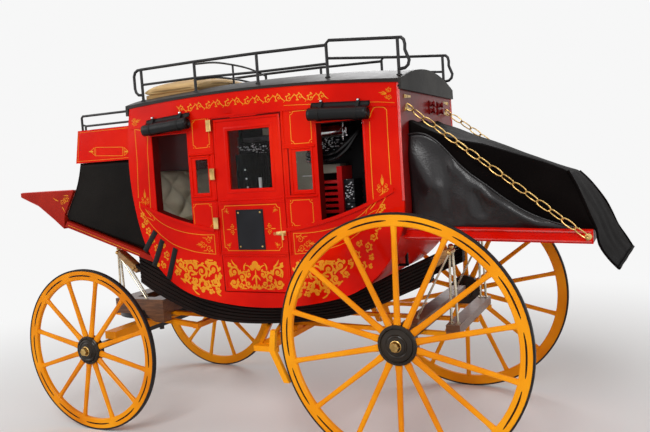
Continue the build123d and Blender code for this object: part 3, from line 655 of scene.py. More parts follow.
def make_wheel(end, side, sign):
    x, radius, spokes, first, hub_radius = WHEELS[end]
    stem = "wheel_%s_%s" % (end, side)
    centre = (x, 0.0, radius)
    rim_out = radius - TYRE_THICK
    rim_in = rim_out - FELLOE_DEPTH
    step = 360.0 / spokes

    def at(r, y, degrees, across=0.0):
        a = math.radians(degrees)
        px = r * math.sin(a) + across * math.cos(a)
        pz = r * math.cos(a) - across * math.sin(a)
        return (x + px, sign * (TRACK_HALF + y), radius + pz)

    tyre = Build()
    half = [(rim_out - 0.3, -4.3), (rim_out + 1.8, -4.5), (radius - 0.4, -3.9), (radius, -3.0)]
    tyre.lathe(both_faces(half), centre, "y", RIM_SIDES, sign, closed=True)
    tyre.make(stem + "_band", "tyre_iron", stem, replaces=[stem + "_tyre"])

    wood = Build()
    half = [(rim_in, -2.8), (rim_in + 1.2, -FELLOE_FACE), (rim_out - 0.8, -FELLOE_FACE), (rim_out, -3.2)]
    wood.lathe(both_faces(half), centre, "y", RIM_SIDES, sign, closed=True)
    # Rings of a spoke: distance from the hub, half width, half thickness
    reach = rim_in - hub_radius
    shape = [(-2.0, 5.3, 3.8), (6.0, 5.3, 3.8), (12.0, 4.6, 3.4), (0.5 * reach, 4.1, 3.3)]
    shape += [(reach - 14.0, 3.7, 3.1), (reach - 4.0, 4.2, 3.5), (reach + 1.5, 4.6, 3.7)]
    for i in range(spokes):
        turn = first + step * i
        rings = []
        for r, wide, thick in shape:
            rings.append([at(hub_radius + r, b * thick, turn, a * wide) for a, b in SPOKE_OUTLINE])
        wood.loft(rings)
    wood.make(stem + "_felloes_and_spokes", "orange_paint", stem, replaces=[stem + "_wood"])

    stripes = Build(lambda u, v, lift: at(v, FELLOE_FACE + lift, u / v * 180 / math.pi))
    middle = (rim_in + rim_out) / 2
    for i in range(spokes):
        a0 = math.radians(first + step * (i + STRIPE_GAP)) * middle
        a1 = math.radians(first + step * (i + 1 - STRIPE_GAP)) * middle
        path = [(a0 + (a1 - a0) * k / 10, middle) for k in range(11)]
        stripes.line(path, STRIPE_WIDTH, 0.25, taper=lambda t: min(1.0, 0.25 + 6 * t, 0.25 + 6 * (1 - t)))
    stripes.make(stem + "_stripes", "stripe_black", stem, "hub_black")

    hub = Build()
    big = hub_radius
    band = [(big - 1, 194.6), (big, 195.8), (big, 209.6), (big - 1.2, 210.8)]
    band += [(big - 4.4, 211.2), (big - 5.2, 210.3), (big - 6.4, 211.6)]
    hub.lathe(HUB_INNER + band + HUB_OUTER, centre, "y", HUB_SIDES, sign, closed=True)
    for i in range(spokes):
        hub.lathe(RIVET, at(big - 2.8, 7.0, first + step * (i + 0.5)), "y", 8, sign)
    hub.make(stem + "_nave", "hub_black", stem, replaces=[stem + "_hub"])
    ring = Build()
    ring.lathe(HUB_RING, centre, "y", 32, sign, closed=True)
    ring.make(stem + "_hub_ring", "brass", stem)


for end in WHEELS:
    for side, sign in SIDES:
        make_wheel(end, side, sign)


def rect(x0, x1, z0, z1):
    """The corners of an upright rectangle."""
    return [(x0, z0), (x1, z0), (x1, z1), (x0, z1)]


def scooped(x0, x1, z0, z1, r=5.0):
    """A closed panel line whose corners curve inwards."""
    out = []
    for (cx, cz), start in zip(rect(x0, x1, z0, z1), (90, 180, 270, 360)):
        out += [polar(cx, cz, r, start - 90 * k / 5) for k in range(6)]
    return out


# Gold lines of the body's sides, in mm: points as (x, z)
TALL_LINES = [
    smooth([(472, 531), (474.5, 505), (475, 479), (478, 401)], 4),
    smooth([(504.6, 423), (501, 480), (500.5, 506), (501, 547)], 4)
    + smooth([(494, 545.5), (486, 543), (479, 536), (472, 531)], 3),
    smooth([(46, 398), (46, 461), (45, 522)], 4),
    smooth([(16.5, 425), (17, 488), (17, 537)], 4)
    + smooth([(21, 541), (30, 542.5), (38, 541), (45, 527)], 3),
]
BELT_TOP = [
    (503, 415.6), (485.5, 400.5), (463.5, 381), (438.6, 368), (406, 358.6), (372, 354), (342.6, 353.4),
]
BELT_FOOT = [
    (342.8, 319.5), (375.5, 322.3), (400, 327), (429.5, 336),
    (449, 347), (466, 360), (485, 379.5), (503, 404),
]
BELT_LINE = smooth(BELT_TOP, 5) + smooth(BELT_FOOT, 5)
FRIEZE_FOOT = smooth([(4, 546.5), (43, 551.2), (146, 557.5), (190, 560)], 4)
# What stands at the belt's front end at x stands at its rear end at BELT_TOTAL - x
BELT_TOTAL = 530.0
SMALL_PANELS = [
    (338, 372, 503.5, 552), (143.5, 180, 497.5, 549), (343, 381.5, 366, 407.3), (149, 189, 366, 407.3),
]
# Leaf tips in the narrow ends of the belt panels: x, z, angle, length, bend, width
LEAF_TIPS = [(478, 388, 44, 26, 12, 1.8), (474, 380, 36, 18, -18, 1.2), (470, 381, 60, 10, 20, 1.1)]
# Scrolls of the low painted panels: x, z, size, start angle, hand, leaves
FRONT_SCROLLS = [
    (352, 293, 11.5, 200, -1, 5), (376, 289, 12.5, 20, 1, 5), (401, 295, 11.0, 190, -1, 5),
    (421, 301, 8.0, 20, 1, 4), (350, 270, 9.0, 120, 1, 5), (369, 266, 8.5, 330, -1, 4),
    (391, 271, 9.5, 150, 1, 5), (411, 279, 8.0, 330, -1, 4), (430, 288, 6.0, 150, 1, 4),
    (345, 254, 5.0, 30, 1, 3), (360, 252, 5.0, 200, -1, 3), (378, 255, 5.0, 20, 1, 3),
    (396, 258, 4.5, 200, -1, 3), (340, 281, 4.5, 90, 1, 3), (388, 302, 5.0, 270, 1, 3),
    (364, 304, 4.6, 270, -1, 3),
]
FRONT_LEAVES = [
    (343, 305, -20, 22, 40, 2.6), (388, 283, 60, 16, -60, 2.4), (362, 280, 100, 16, 70, 2.6),
    (410, 287, 70, 15, -60, 2.2), (380, 277, 200, 18, 50, 2.6), (400, 283, 190, 15, -50, 2.2),
    (358, 261, 20, 16, -50, 2.0), (383, 262, 10, 16, 50, 2.0), (402, 266, 20, 16, 40, 2.0),
    (420, 290, 10, 15, 50, 2.0), (342, 262, 80, 14, -60, 2.0), (438, 296, 30, 12, 60, 1.8),
    (366, 292, 250, 14, 60, 2.4), (413, 308, 200, 15, -40, 2.0), (340, 246, 20, 12, 40, 1.6),
    (386, 247, 15, 13, 40, 1.6), (346, 284, 300, 14, -60, 2.4), (424, 276, 200, 12, 40, 1.8),
    (394, 308, 170, 12, 40, 1.8), (350, 309, 340, 12, 50, 1.8),
]
# Small scrolls up the leaning front, between the slanting straps
RISING_SCROLLS = [
    (449, 318, 7.0, 250, 1, 4), (459, 300, 6.0, 80, -1, 4), (455, 336, 5.0, 60, -1, 3),
    (470, 331, 6.5, 240, 1, 4), (476, 313, 4.5, 60, 1, 3), (480, 346, 6.0, 60, -1, 4),
    (486, 362, 6.5, 250, 1, 4), (490, 379, 5.5, 70, -1, 3), (497, 392, 5.0, 250, 1, 3),
    (500, 371, 3.8, 60, 1, 3), (440, 305, 4.5, 60, 1, 3), (473, 299, 3.5, 60, 1, 2),
]


def belt_scrolls(part):
    """Scrolls in the inner end of a belt panel."""
    part.curl(354, 343.5, 6.6, 160, -1, 0.95, 3)
    part.curl(355, 330, 6.0, 200, 1, 0.95, 3)
    part.curl(366.5, 337, 5.2, 180, 1, 0.85, 3)
    part.spray(371, 336.5, 0, 12, 0.9)
    for x, z, a in ((347.5, 350, -45), (347.5, 323.5, 45), (360, 348, -10), (361, 325.5, 12)):
        part.leaf(x, z, a, 8, 30 if a < 0 else -30, 1.2)


def low_scrolls(part):
    part.scrolls(FRONT_SCROLLS, (3.9, 2.9), 7)
    part.leaves(FRONT_LEAVES, 1.15, 1.8)
    part.scrolls(RISING_SCROLLS, (2.3, 2.3), 0)


# Running scroll over the windows: its ends, the number of its curls, the height of its middle and its fall
FRIEZE_ENDS = (112.0, 402.0)
FRIEZE_CURLS = 15
FRIEZE_TOP_Z = 574.5
FRIEZE_FALL = 0.00022


def frieze(gold):
    """A running scroll of S curves with leaves over the windows, between two end ornaments."""
    start, stop = FRIEZE_ENDS
    pitch = (stop - start) / FRIEZE_CURLS
    for i in range(FRIEZE_CURLS):
        x = start + pitch * (i + 0.5)
        up = 1 if i % 2 == 0 else -1
        z = FRIEZE_TOP_Z - FRIEZE_FALL * (x - ROOF_TOP_X) ** 2
        gold.curl(x, z + 1.2 * up, 6.0, -90 * up + 25, up, 1.5, 3, 1.2)
        gold.leaf(x - pitch * 0.55, z - 4.6 * up, 25 * up, pitch * 0.75, 35 * up, 1.5)
        gold.leaf(x + pitch * 0.42, z + 3.0 * up, 80 * up, 5.0, -50 * up, 1.1)
    for x, z, hand in ((15, 561, 1), (499, 560, -1)):
        gold.spray(x + hand, z, 90 - 75 * hand, 13, 1.1)
        gold.curl(x - 3 * hand, z + 4.5, 4.0, 0, hand, 0.9, 3)
        gold.curl(x - 3 * hand, z - 4.5, 4.0, 0, -hand, 0.9, 3)


def side_gold():
    ahead = on_side(1)
    gold = Build(ahead)

    def at_both_ends(draw):
        for spot in (ahead, lambda u, v, lift: ahead(BELT_TOTAL - u, v, lift)):
            part = Build(spot)
            draw(part)
            gold.also(part)

    for path in TALL_LINES:
        gold.line(path, 1.15)
    for panel in SMALL_PANELS:
        gold.line(scooped(*panel), 0.95, closed=True)
        for (x, z), a in zip(rect(*panel), (45, 135, 225, 315)):
            gold.dot(*polar(x, z, 1.2, a), 0.9, 0.35)
    gold.line(BELT_LINE, 1.1, closed=True)
    gold.line([(BELT_TOTAL - x, z) for x, z in BELT_LINE], 1.1, closed=True)
    # Line over the frieze's foot, and its corner ornaments
    gold.line(FRIEZE_FOOT, 0.8)
    for x, z in ((489, 421), (30, 424)):
        gold.spray(x, z, 90, 17, 1.3, 30)
        gold.curl(x - 4.5, z - 7, 4.2, 80, 1, 0.9, 2)
        gold.curl(x + 4.5, z - 7, 4.2, 100, -1, 0.9, 2)
        gold.leaf(x, z - 3, 270, 13, 0, 1.7)
    at_both_ends(belt_scrolls)
    at_both_ends(lambda part: part.leaves(LEAF_TIPS))
    frieze(gold)
    at_both_ends(low_scrolls)
    gold.mirrored().make("side_gold_leaf", "gold_leaf", slot="red_paint")


# Scrolls of the door's low panel, half of it: distance from the middle, z, size, start angle, hand, leaves
DOOR_SCROLLS = [
    (43, 289, 9.5, 200, -1, 5), (27, 280, 8.5, 30, 1, 5), (45, 270, 7.5, 150, 1, 4),
    (31, 264, 6.0, 300, -1, 4), (14, 285, 6.0, 120, -1, 4), (16, 268, 6.0, 200, 1, 4),
    (52, 300, 3.6, 60, 1, 3), (6, 262, 3.8, 90, 1, 3),
]
DOOR_LEAVES = [
    (36, 298, 20, 15, 50, 2.2), (22, 292, 70, 13, 70, 2.0), (36, 277, 300, 14, -60, 2.2),
    (8, 275, 110, 14, 60, 2.0), (50, 280, 60, 14, 50, 2.0), (20, 260, 350, 13, 40, 1.8),
    (40, 260, 10, 14, 40, 1.8), (10, 296, 60, 10, -60, 1.6),
]
DOOR_MID_X = 265.5


def door_gold(side, sign):
    door = on_side(sign)
    gold = Build(door)
    gold.line(scooped(209.5, 322, 325.6, 402.2, 6.0), 1.1, closed=True)
    # Corner filigree of the middle panel
    for (x, z), a in zip(rect(217, 314.5, 333.5, 394.5), (45, 135, 225, 315)):
        gold.spray(x, z, a, 8.5, 0.85, 42)
    # Small scrolls at both sides of the plate
    for x, hand in ((305, 1), (230, -1)):
        gold.curl(x, 366.5, 3.8, 90, hand, 0.95, 3)
        gold.curl(x, 357.5, 3.8, 270, -hand, 0.95, 3)
        gold.leaf(x + 2 * hand, 362, 0 if hand > 0 else 180, 9, 0, 1.8)
        gold.leaf(x - 5 * hand, 362, 180 if hand > 0 else 0, 5, 0, 1.4)
    for hand in (1, -1):
        part = Build(lambda u, v, lift: door(DOOR_MID_X + hand * u, v, lift))
        part.scrolls(DOOR_SCROLLS, (3.6, 2.6), 6)
        part.leaves(DOOR_LEAVES, 1.1, 1.5)
        gold.also(part)
    # Middle ornament: a round-lobed leaf on a stem
    for dx, z, r in ((0, 301.5, 6.4), (-6.0, 296.5, 5.0), (6.0, 296.5, 5.0)):
        gold.dot(DOOR_MID_X + dx, z, r, 0.6, 16)
    gold.leaf(DOOR_MID_X, 261, 90, 33, 0, 3.4)
    gold.make("door_gold_" + side, "gold_leaf", "door_" + side, "red_paint")


def door_details(side, sign):
    body = "door_" + side
    trim = Build(on_side(sign))
    # Mouldings round the window and the panels
    trim.line(rect(215.5, 305.5, 425.5, 532.5), 5.0, 1.5, closed=True)
    trim.line(rect(202.0, 326.0, 257, 546), 4.6, 2.0, closed=True)
    for z in (411.5, 316.5):
        trim.line([(204, z), (324, z)], 4.0, 1.8)
    trim.make(body + "_mouldings", "red_paint", body)
    plate = Build(on_side(sign))
    plate.band([(267.7, 327.5), (267.7, 395)], 53.0, 1.6)
    plate.make(body + "_plate", "plate_black", body, "black_iron")
    rim = Build(on_side(sign, 1.2))
    rim.line(rect(242.8, 292.6, 329, 393.5), 1.3, 0.8, closed=True)
    rim.make(body + "_plate_rim", "plate_black", body, "black_iron")
    pins = Build(on_side(sign, 1.5))
    for u in (246.3, 289.1):
        for v in (332.6, 390.0):
            pins.dot(u, v, 1.7, 1.2, 14)
    pins.make(body + "_plate_pins", "brass", body)
    latch = Build(on_side(sign))
    latch.band([(201, 354), (219, 354)], 8.0, 1.2, lambda t: 1.0 - 0.35 * t)
    latch.dot(204.5, 354, 2.6, 3.2, 16)
    latch.dot(214.0, 354, 2.0, 2.2, 14)
    latch.curl(222.5, 354, 3.0, 180, 1, 0.9, 0)
    latch.make(body + "_latch", "brass", body)
    handle = Build()
    y = side_y(204.5, 354) + 3.4
    grip = ((204.5, -2.0, 354), (204.5, 1.6, 354), (204.4, 2.0, 349), (204.3, 1.4, 344))
    handle.tube([(x, sign * (y + out), z) for x, out, z in grip], [1.7, 1.9, 1.5, 2.0], 12)
    handle.make(body + "_handle", "brass", body)


side_gold()
for side, sign in SIDES:
    door_gold(side, sign)
    door_details(side, sign)


# Big windows: x of both edges, z of the head
BIG_WINDOWS = ((57, 135, 527), (385, 463, 531))
# Section of a dark sheet of painted shade inside a window's opening: towards the opening, then inwards from
# the side
SHADE_SHEET_SECTION = ((-0.4, 0.5), (0.3, 0.5), (0.3, 17.8), (-0.4, 17.8))
SILL_RISE = 6.0


def shade_sheet_ring(x, z, dx, dz):
    """Section of the sheet of painted shade inside a window's opening; dx or dz points into the opening."""
    y = side_y(x, z)
    return [(x + dx * a, y - b, z + dz * a) for a, b in SHADE_SHEET_SECTION]


def side_mouldings():
    """Raised strips, window frames, and painted shade along the edges of the openings on the body's sides."""
    trim = Build(on_side(1))
    # Ledges above and below the small windows, and posts beside the doors
    for a, b in ((331.5, 379.0), (139.0, 195.5)):
        for z in (492.5, 413.3):
            trim.line([(a, z), (b, z)], 4.0, 3.0)
    trim.line([(334.2, 319), (333.8, 552)], 3.6, 2.4)
    trim.line([(193.8, 319), (194.0, 552)], 3.6, 2.4)
    # Small windows: a raised frame, and a flat inner one that is broader at its front side
    for x0, x1, z0, z1 in ((340.5, 380.5, 421, 488.5), (143.0, 184.0, 418.5, 490)):
        trim.line(rect(x0 + 1.5, x1 - 1.5, z0, z1), 4.0, 2.6, closed=True)
        trim.band([(x1 - 6.5, z0 + 2), (x1 - 6.5, z1 - 2)], 8.0, 0.5)
        for z in (z0 + 3.4, z1 - 3.4):
            trim.band([(x0 + 3, z), (x1 - 3, z)], 3.4, 0.5)
    # Frames of the big windows
    for a, b, top in BIG_WINDOWS:
        left, right, head = a - 1.6, b + 1.6, top + 1.5
        trim.line([(left, belt_z(a) + 8), (left, head), (right, head), (right, belt_z(b) + 8)], 3.0, 1.1)
    trim.mirrored().make("side_mouldings", "red_paint")

    # Painted shade: dark strips round the door's opening, and along one upright side and the head of each
    # small window
    shade_strips = Build(on_side(1))
    shade_strips.band([(198.6, 256), (198.6, 549.6), (329.4, 549.6), (329.4, 256)], 2.6, 0.25)
    for x0, x1, z0, z1 in ((337.5, 383.5, 418, 490.5), (140.0, 187.0, 415.5, 492)):
        shade_strips.band([(x1, z0), (x1, z1), (x0, z1)], 2.0, 0.25)
    shade_strips.mirrored().make("door_painted_shade", "painted_shade_red", slot="red_paint")

    # Painted shade: dark sheets inside the openings of the big windows
    shade_sheet = Build()
    for a, b, top in BIG_WINDOWS:
        for x, into in ((a, 1), (b, -1)):
            low = belt_z(x) + SILL_RISE + 0.2
            shade_sheet.loft([shade_sheet_ring(x, low + (top - 0.2 - low) * i / 6, into, 0) for i in range(7)])
        steps = [a + (b - a) * i / 8 for i in range(9)]
        shade_sheet.loft([shade_sheet_ring(x, belt_z(x) + SILL_RISE, 0, 1) for x in steps])
        shade_sheet.loft([shade_sheet_ring(x, top, 0, -1) for x in steps])
    shade_sheet.mirrored().make("window_painted_shade", "painted_shade_red", slot="red_paint")

    straps = Build(on_side(1))
    for x0, z0, x1, z1 in ((471, 361, 500, 325), (457, 345, 482, 297), (429, 330, 451, 274)):
        straps.band([(x0, z0), ((x0 + x1) / 2, (z0 + z1) / 2), (x1, z1)], 10.5, 1.5)
        for place in (0.08, 0.92):
            straps.dot(x0 + (x1 - x0) * place, z0 + (z1 - z0) * place, 1.5, 2.6, 8)
    straps.mirrored().make("slanting_straps", "leather_black", slot="leather")


side_mouldings()


def wave(x, y, z, scale, seed=0.0):
    """Smooth noise from -1 to 1 at a place in mm."""
    return noise.noise(Vector((x / scale + seed, y / scale - seed, z / scale + 2.0 * seed)))


def between(rows, x, column):
    """Reads a column of a table by its first column, with straight lines between rows."""
    for low, high in zip(rows, rows[1:]):
        a, b = sorted((low[0], high[0]))
        if a <= x <= b:
            share = (x - low[0]) / (high[0] - low[0])
            return low[column] + (high[column] - low[column]) * share
    nearest = min((rows[-1], rows[0]), key=lambda row: abs(x - row[0]))
    return nearest[column]


def thicken(piece, thick, inward=-1.0):
    """Gives an open sheet its thickness in mm."""
    shell = piece.modifiers.new("thick", "SOLIDIFY")
    shell.thickness = thick / 1000.0
    shell.offset = inward


def soften(piece):
    rounder = piece.modifiers.new("soft", "SUBSURF")
    rounder.levels = 1
    rounder.render_levels = 1


# Rear boot cover: x, height of its left edge, of its middle and of its right edge
COVER_ROWS = [
    (-3.4, 520, 522, 519), (-30, 505, 510, 508), (-60, 491, 496, 494), (-90, 483, 484, 482),
    (-115, 478, 474, 471), (-140, 469, 462, 459), (-206, 445, 434, 431), (-229, 434, 425, 423),
]
COVER_FOOT = [(-3.4, 352), (-228, 346.5), (-290, 345.5)]
COVER_HALF = 110.5
# The drooping end as (x, z), at the left edge and at the right edge
NEAR_END = [
    (-233, 431), (-242, 414), (-251, 392), (-259.5, 369),
    (-267.5, 348), (-271, 326), (-282, 307), (-295, 292),
]
FAR_END = [
    (-229, 422), (-243, 407), (-257, 388), (-269, 369),
    (-278, 349), (-286, 329), (-298, 309), (-308, 291),
]
# Rows of the end whose sides still reach down to the rack
STEEP_COUNT = 5
TOP_SPANS = 28
COVER_SPANS = 26
COVER_START = -3.6
COVER_LENGTH = 224.4
# Loose side panels of the rear boot: upper edge as (x, z), x of their rear end, and their y
FLANK_TOP = [
    (-4, 499), (-17, 500), (-32, 496), (-48, 485), (-63, 469), (-80, 449),
    (-98, 432), (-120, 415), (-146, 394), (-176, 374), (-208, 360), (-240, 350.5),
]
FLANK_BACK = -240
FLANK_Y = 113.6
# Lower edge of the side panels: z at their rear end, and its rise to the front
FLANK_LOW = 346.0
FLANK_RISE = 0.036
# Folds of a flank: height, both ends as x and z, and spread; the hollows are negative
FLANK_FOLDS = [
    (7.5, -8, 470, -40, 420, 17), (8.0, -78, 446, -125, 402, 13), (6.5, -125, 402, -190, 358, 10),
    (-5.5, -52, 462, -66, 372, 12), (-5.0, -108, 402, -112, 376, 10), (3.5, -92, 420, -90, 372, 9),
]


def cover_top(x, share):
    """A point of the cover's top at x; share runs from -1 (right edge) to 1 (left edge)."""
    edge = between(COVER_ROWS, x, 1 if share > 0 else 3)
    crown = between(COVER_ROWS, x, 2)
    near_wall = math.exp((x + 3.4) / 30.0)
    crease = 2.6 * near_wall * math.sin(share * 9.0 + x / 9.0)
    ripple = 1.5 * wave(x, COVER_HALF * share, 0.0, 55.0, 1.0)
    z = crown + (edge - crown) * abs(share) ** 3 + (ripple + crease) * (1 - share ** 4)
    return (x, share * COVER_HALF, z)


def end_top(t, share):
    """A point of the drooping end; t counts its rows."""
    near = NEAR_END[t]
    far = FAR_END[t]
    mid = (1 + share) / 2
    x = far[0] + (near[0] - far[0]) * mid
    z = far[1] + (near[1] - far[1]) * mid
    puff = 1.6 * wave(x, share * 110, z, 42.0, 7.0) * (1 - share ** 4)
    return (x - puff, share * (COVER_HALF + 0.12 * t), z + 0.4 * puff)


def cover_ring(top, foot_x):
    """A full ring of the cover: left side from its foot, the top, and the right side down."""
    foot_z = between(COVER_FOOT, foot_x, 1)
    sides = []
    for sign, edge in ((1, top[0]), (-1, top[-1])):
        side = []
        for k in range(8):
            up = k / 8
            x = foot_x + (edge[0] - foot_x) * up
            z = foot_z + (edge[2] - foot_z) * up
            bow = 2.2 * math.sin(math.pi * up) + 1.7 * wave(x, 0, z, 38.0, 3.0 * sign)
            side.append((x, sign * (COVER_HALF - 1.6 + bow * math.sin(math.pi * up) ** 0.5), z))
        sides.append(side)
    return sides[0] + top + sides[1][::-1]


def flank_relief(x, z):
    """Height of the soft folds at a place on the flank."""
    height = 0.0
    for tall, ax, az, bx, bz, spread in FLANK_FOLDS:
        run = Vector((bx - ax, bz - az))
        offset = Vector((x - ax, z - az))
        t = max(0.0, min(1.0, offset.dot(run) / run.length_squared))
        height += tall * math.exp(-((offset - run * t).length / spread) ** 2)
    return height


def boot_flank(side, sign, upper):
    """A loose side panel of the rear boot, with its own rolled upper edge."""
    flank = Build()
    rings = []
    for x, z_top in upper:
        ring = []
        z_low = FLANK_LOW + (x - FLANK_BACK) * FLANK_RISE
        for j in range(25):
            up = j / 24
            z = z_low + (z_top - z_low) * up
            edge = min(1.0, (x - FLANK_BACK + 6) / 40.0)
            edge *= math.sin(math.pi * min(1.0, 0.08 + 0.9 * up)) ** 0.6
            swell = 3.0 * math.sin(math.pi * min(1.0, up * 1.05)) * min(1.0, (z_top - z_low) / 50.0)
            relief = swell + flank_relief(x, z) * edge + 0.7 * wave(x, 5, z, 24.0, 4.0)
            ring.append((x, sign * (FLANK_Y + max(-2.2, relief)), z))
        rings.append(ring)
    flank.skin(rings)
    piece = flank.make("rear_boot_flank_" + side, "boot_sheen", slot="leather", angle=70)
    thicken(piece, 1.4)
    edge = Build()
    edge.tube(at_y(sign * 114.0, upper), 1.5, 8)
    edge.make("rear_boot_flank_hem_" + side, "boot_sheen", slot="leather", angle=60)


def rear_boot():
    shares = [1 - 2 * j / TOP_SPANS for j in range(TOP_SPANS + 1)]
    rings = []
    for i in range(COVER_SPANS + 1):
        x = COVER_START - COVER_LENGTH * i / COVER_SPANS
        rings.append(cover_ring([cover_top(x, share) for share in shares], x))
    ends = [[end_top(t, share) for share in shares] for t in range(len(NEAR_END))]
    for t in range(STEEP_COUNT):
        rings.append(cover_ring(ends[t], -232.0 - 35.0 * t / (STEEP_COUNT - 1)))
    cover = Build()
    cover.skin(rings)
    cover.skin(ends[STEEP_COUNT - 1:])
    piece = cover.make("rear_boot_cover", "boot_leather", slot="leather", replaces=["rear_boot"], angle=70)
    face_outwards(piece.data, join=True)
    soften(piece)
    thicken(piece, 1.6)
    # Rolled hems down both sides of the end and across its foot
    hem = Build()
    for column in (0, -1):
        hem.tube(smooth([row[column] for row in ends], 3), 1.7, 8)
    hem.tube([(p[0] - 0.3, p[1], p[2] + 0.4) for p in ends[-1]], 2.0, 8)
    hem.make("rear_boot_hems", "boot_leather", slot="leather", angle=60)
    upper = smooth(FLANK_TOP, 3)
    for side, sign in SIDES:
        boot_flank(side, sign, upper)


def outline_of_body():
    """The side outline of the body from the rear wall round the belly to the leaning front."""
    x, z = OUTLINE_START
    heading = -90.0
    points = [(x, 560.0), (x, z)]
    for radius, turn in OUTLINE_ARCS:
        cx = x - radius * math.sin(math.radians(heading))
        cz = z + radius * math.cos(math.radians(heading))
        for k in range(1, ARC_STEPS + 1):
            a = math.radians(heading + turn * k / ARC_STEPS)
            points.append((cx + radius * math.sin(a), cz - radius * math.cos(a)))
        heading += turn
        x, z = points[-1]
    return points


FRONT_EDGE = [(z, x) for x, z in outline_of_body() if x > 380 and z > 240]


def front_x(z):
    """The body's front edge at a height."""
    return between(FRONT_EDGE, z, 1)


# Front boot: its nose's line as (x, z), half its width, and the z and the height of its rear edge
BOOT_NOSE = [(690.5, 385), (695.5, 389.5), (696.5, 396), (683, 420), (667, 446), (657, 470), (650, 493.5)]
BOOT_HALF = 139.6
BOOT_LOW = 320.5
BOOT_TALL = 173.0


def boot_side(fx, fz, t, sign):
    """A row of the front boot's flank, from the body to the nose; t runs from its foot to its top."""
    low_z = BOOT_LOW + BOOT_TALL * t
    lx = front_x(low_z) - 2.0
    swell = math.sin(math.pi * min(1.0, t + 0.08))
    row = []
    for k in range(15):
        s = k / 14
        x = lx + (fx - 6.0 - lx) * s
        z = low_z + (fz - low_z) * s
        puff = 2.2 * math.sin(math.pi * s) * swell + 0.7 * wave(x, 0, z, 40.0, sign)
        row.append((x, sign * (BOOT_HALF - 1.2 + puff), z))
    return row + [(fx - 2.4, sign * (BOOT_HALF - 1.4), fz), (fx - 0.4, sign * (BOOT_HALF - 4.5), fz)]


def front_boot():
    """One wrapped sheet of leather: left flank, front and right flank."""
    nose = smooth(BOOT_NOSE, 3)
    inner = BOOT_HALF - 16
    across = [inner - 2 * inner * j / 14 for j in range(15)]
    rings = []
    for i, (fx, fz) in enumerate(nose):
        left, right = [boot_side(fx, fz, i / (len(nose) - 1), sign) for sign in (1, -1)]
        rings.append(left + [(fx + 0.8 * wave(fx, y, fz, 60.0, 2.0), y, fz) for y in across] + right[::-1])
    boot = Build()
    boot.skin(rings)
    piece = boot.make("front_boot_cover", "front_leather", slot="leather", replaces=["front_boot"], angle=60)
    thicken(piece, 1.6)
    welt = Build()
    for sign in (1, -1):
        welt.tube(at_y(sign * (BOOT_HALF - 2.0), [(fx - 2.6, fz) for fx, fz in nose]), 1.3, 8)
    welt.make("front_boot_welts", "front_leather", slot="leather", angle=60)


# Curtain rolls: ends of each roll's axis as x, z, then the places of its straps along it, 0 to 1
ROLLS = [
    ("rear", (43, 534.5), (141, 540.0), (0.19, 0.82)),
    ("front", (373, 547), (469, 541.0), (0.2, 0.84)),
]
ROLL_OUT = 11.2
ROLL_STEPS = 84
ROLL_TURNS = 3.3
# The last of a roll's leather rises to its seam under the frieze: up, out
ROLL_TAIL = ((11.5, -5.2), (15.0, -8.2), (19.0, -9.4))
STRAP_SECTION = ((-2.6, -0.6), (2.6, -0.6), (2.6, 0.6), (-2.6, 0.6))
STUD = [(0.01, 2.6), (1.2, 2.4), (2.2, 1.3), (2.4, 0.2), (2.4, -1.6)]


def curtain_roll(end, first, last, marks, side, sign):
    start, stop = [Vector((x, sign * (side_y(x, z) + ROLL_OUT), z)) for x, z in (first, last)]
    run = (stop - start).normalized()
    out = Vector((0, sign, 0))
    up = run.cross(out)
    if up.z <= 0:
        up = -up
    rings = []
    for k in range(19):
        share = k / 18
        base = start.lerp(stop, share)
        ring = []
        for i in range(ROLL_STEPS + 1):
            t = i / ROLL_STEPS
            a = math.pi * 0.5 - ROLL_TURNS * math.tau * (1 - t)
            r = 2.8 + 7.2 * t + 0.32 * wave(share * 100, a * 8, 0, 14.0, sign)
            ring.append(base + out * (r * math.cos(a)) + up * (r * math.sin(a)))
        rings.append(ring + [base + out * back + up * lift for lift, back in ROLL_TAIL])
    roll = Build()
    roll.skin(rings)
    place = "%s_%s" % (end, side)
    replaced = ["curtain_rolls"] if place == "rear_left" else ()
    piece = roll.make("curtain_roll_" + place, "roll_leather", slot="leather", replaces=replaced, angle=60)
    thicken(piece, 0.9, 0.0)
    straps = Build()
    studs = Build()
    for mark in marks:
        base = start.lerp(stop, mark)
        loop = [base + out * -9.2 + up * 22.5, base + out * -6.4 + up * 17.5]
        for i in range(17):
            c, s = polar(0.0, 0.0, 9.9, 100 - 290 * i / 16)
            loop.append(base + out * c + up * s)
        loop.append(base + out * -9.4 + up * 4.0)
        rings = []
        for i, point in enumerate(loop):
            before = loop[max(0, i - 1)]
            after = loop[min(len(loop) - 1, i + 1)]
            normal = (after - before).cross(run).normalized()
            rings.append([point + run * w + normal * h for w, h in STRAP_SECTION])
        straps.loft(rings)
        studs.lathe(STUD, tuple(base + out * -7.6 + up * 21.0), "y", 14, sign)
    straps.make("curtain_straps_" + place, "leather_black", slot="leather")
    studs.make("curtain_studs_" + place, "chrome", slot="rod_steel")


# Thoroughbraces: upper and lower edge as (x, z)
BRACE_TOP = [
    (-40, 312.4), (20, 285.7), (89.7, 254.7), (130, 242.0), (180, 232.6), (240, 227.3),
    (300, 227.8), (360, 235.6), (416, 251.0), (473, 276.8), (520, 298.1), (560, 316.2),
]
BRACE_LOW = [
    (-40, 273.9), (20, 247.4), (75.5, 222.7), (130, 206.8), (180, 198.6), (240, 192.2),
    (300, 188.4), (360, 189.6), (416, 198.0), (473, 218.8), (520, 240.2), (560, 264.0),
]
BRACE_LAYERS = 7
BRACE_ENDS = (-38, 560)
BRACE_SIDES = (89.2, 110.8)


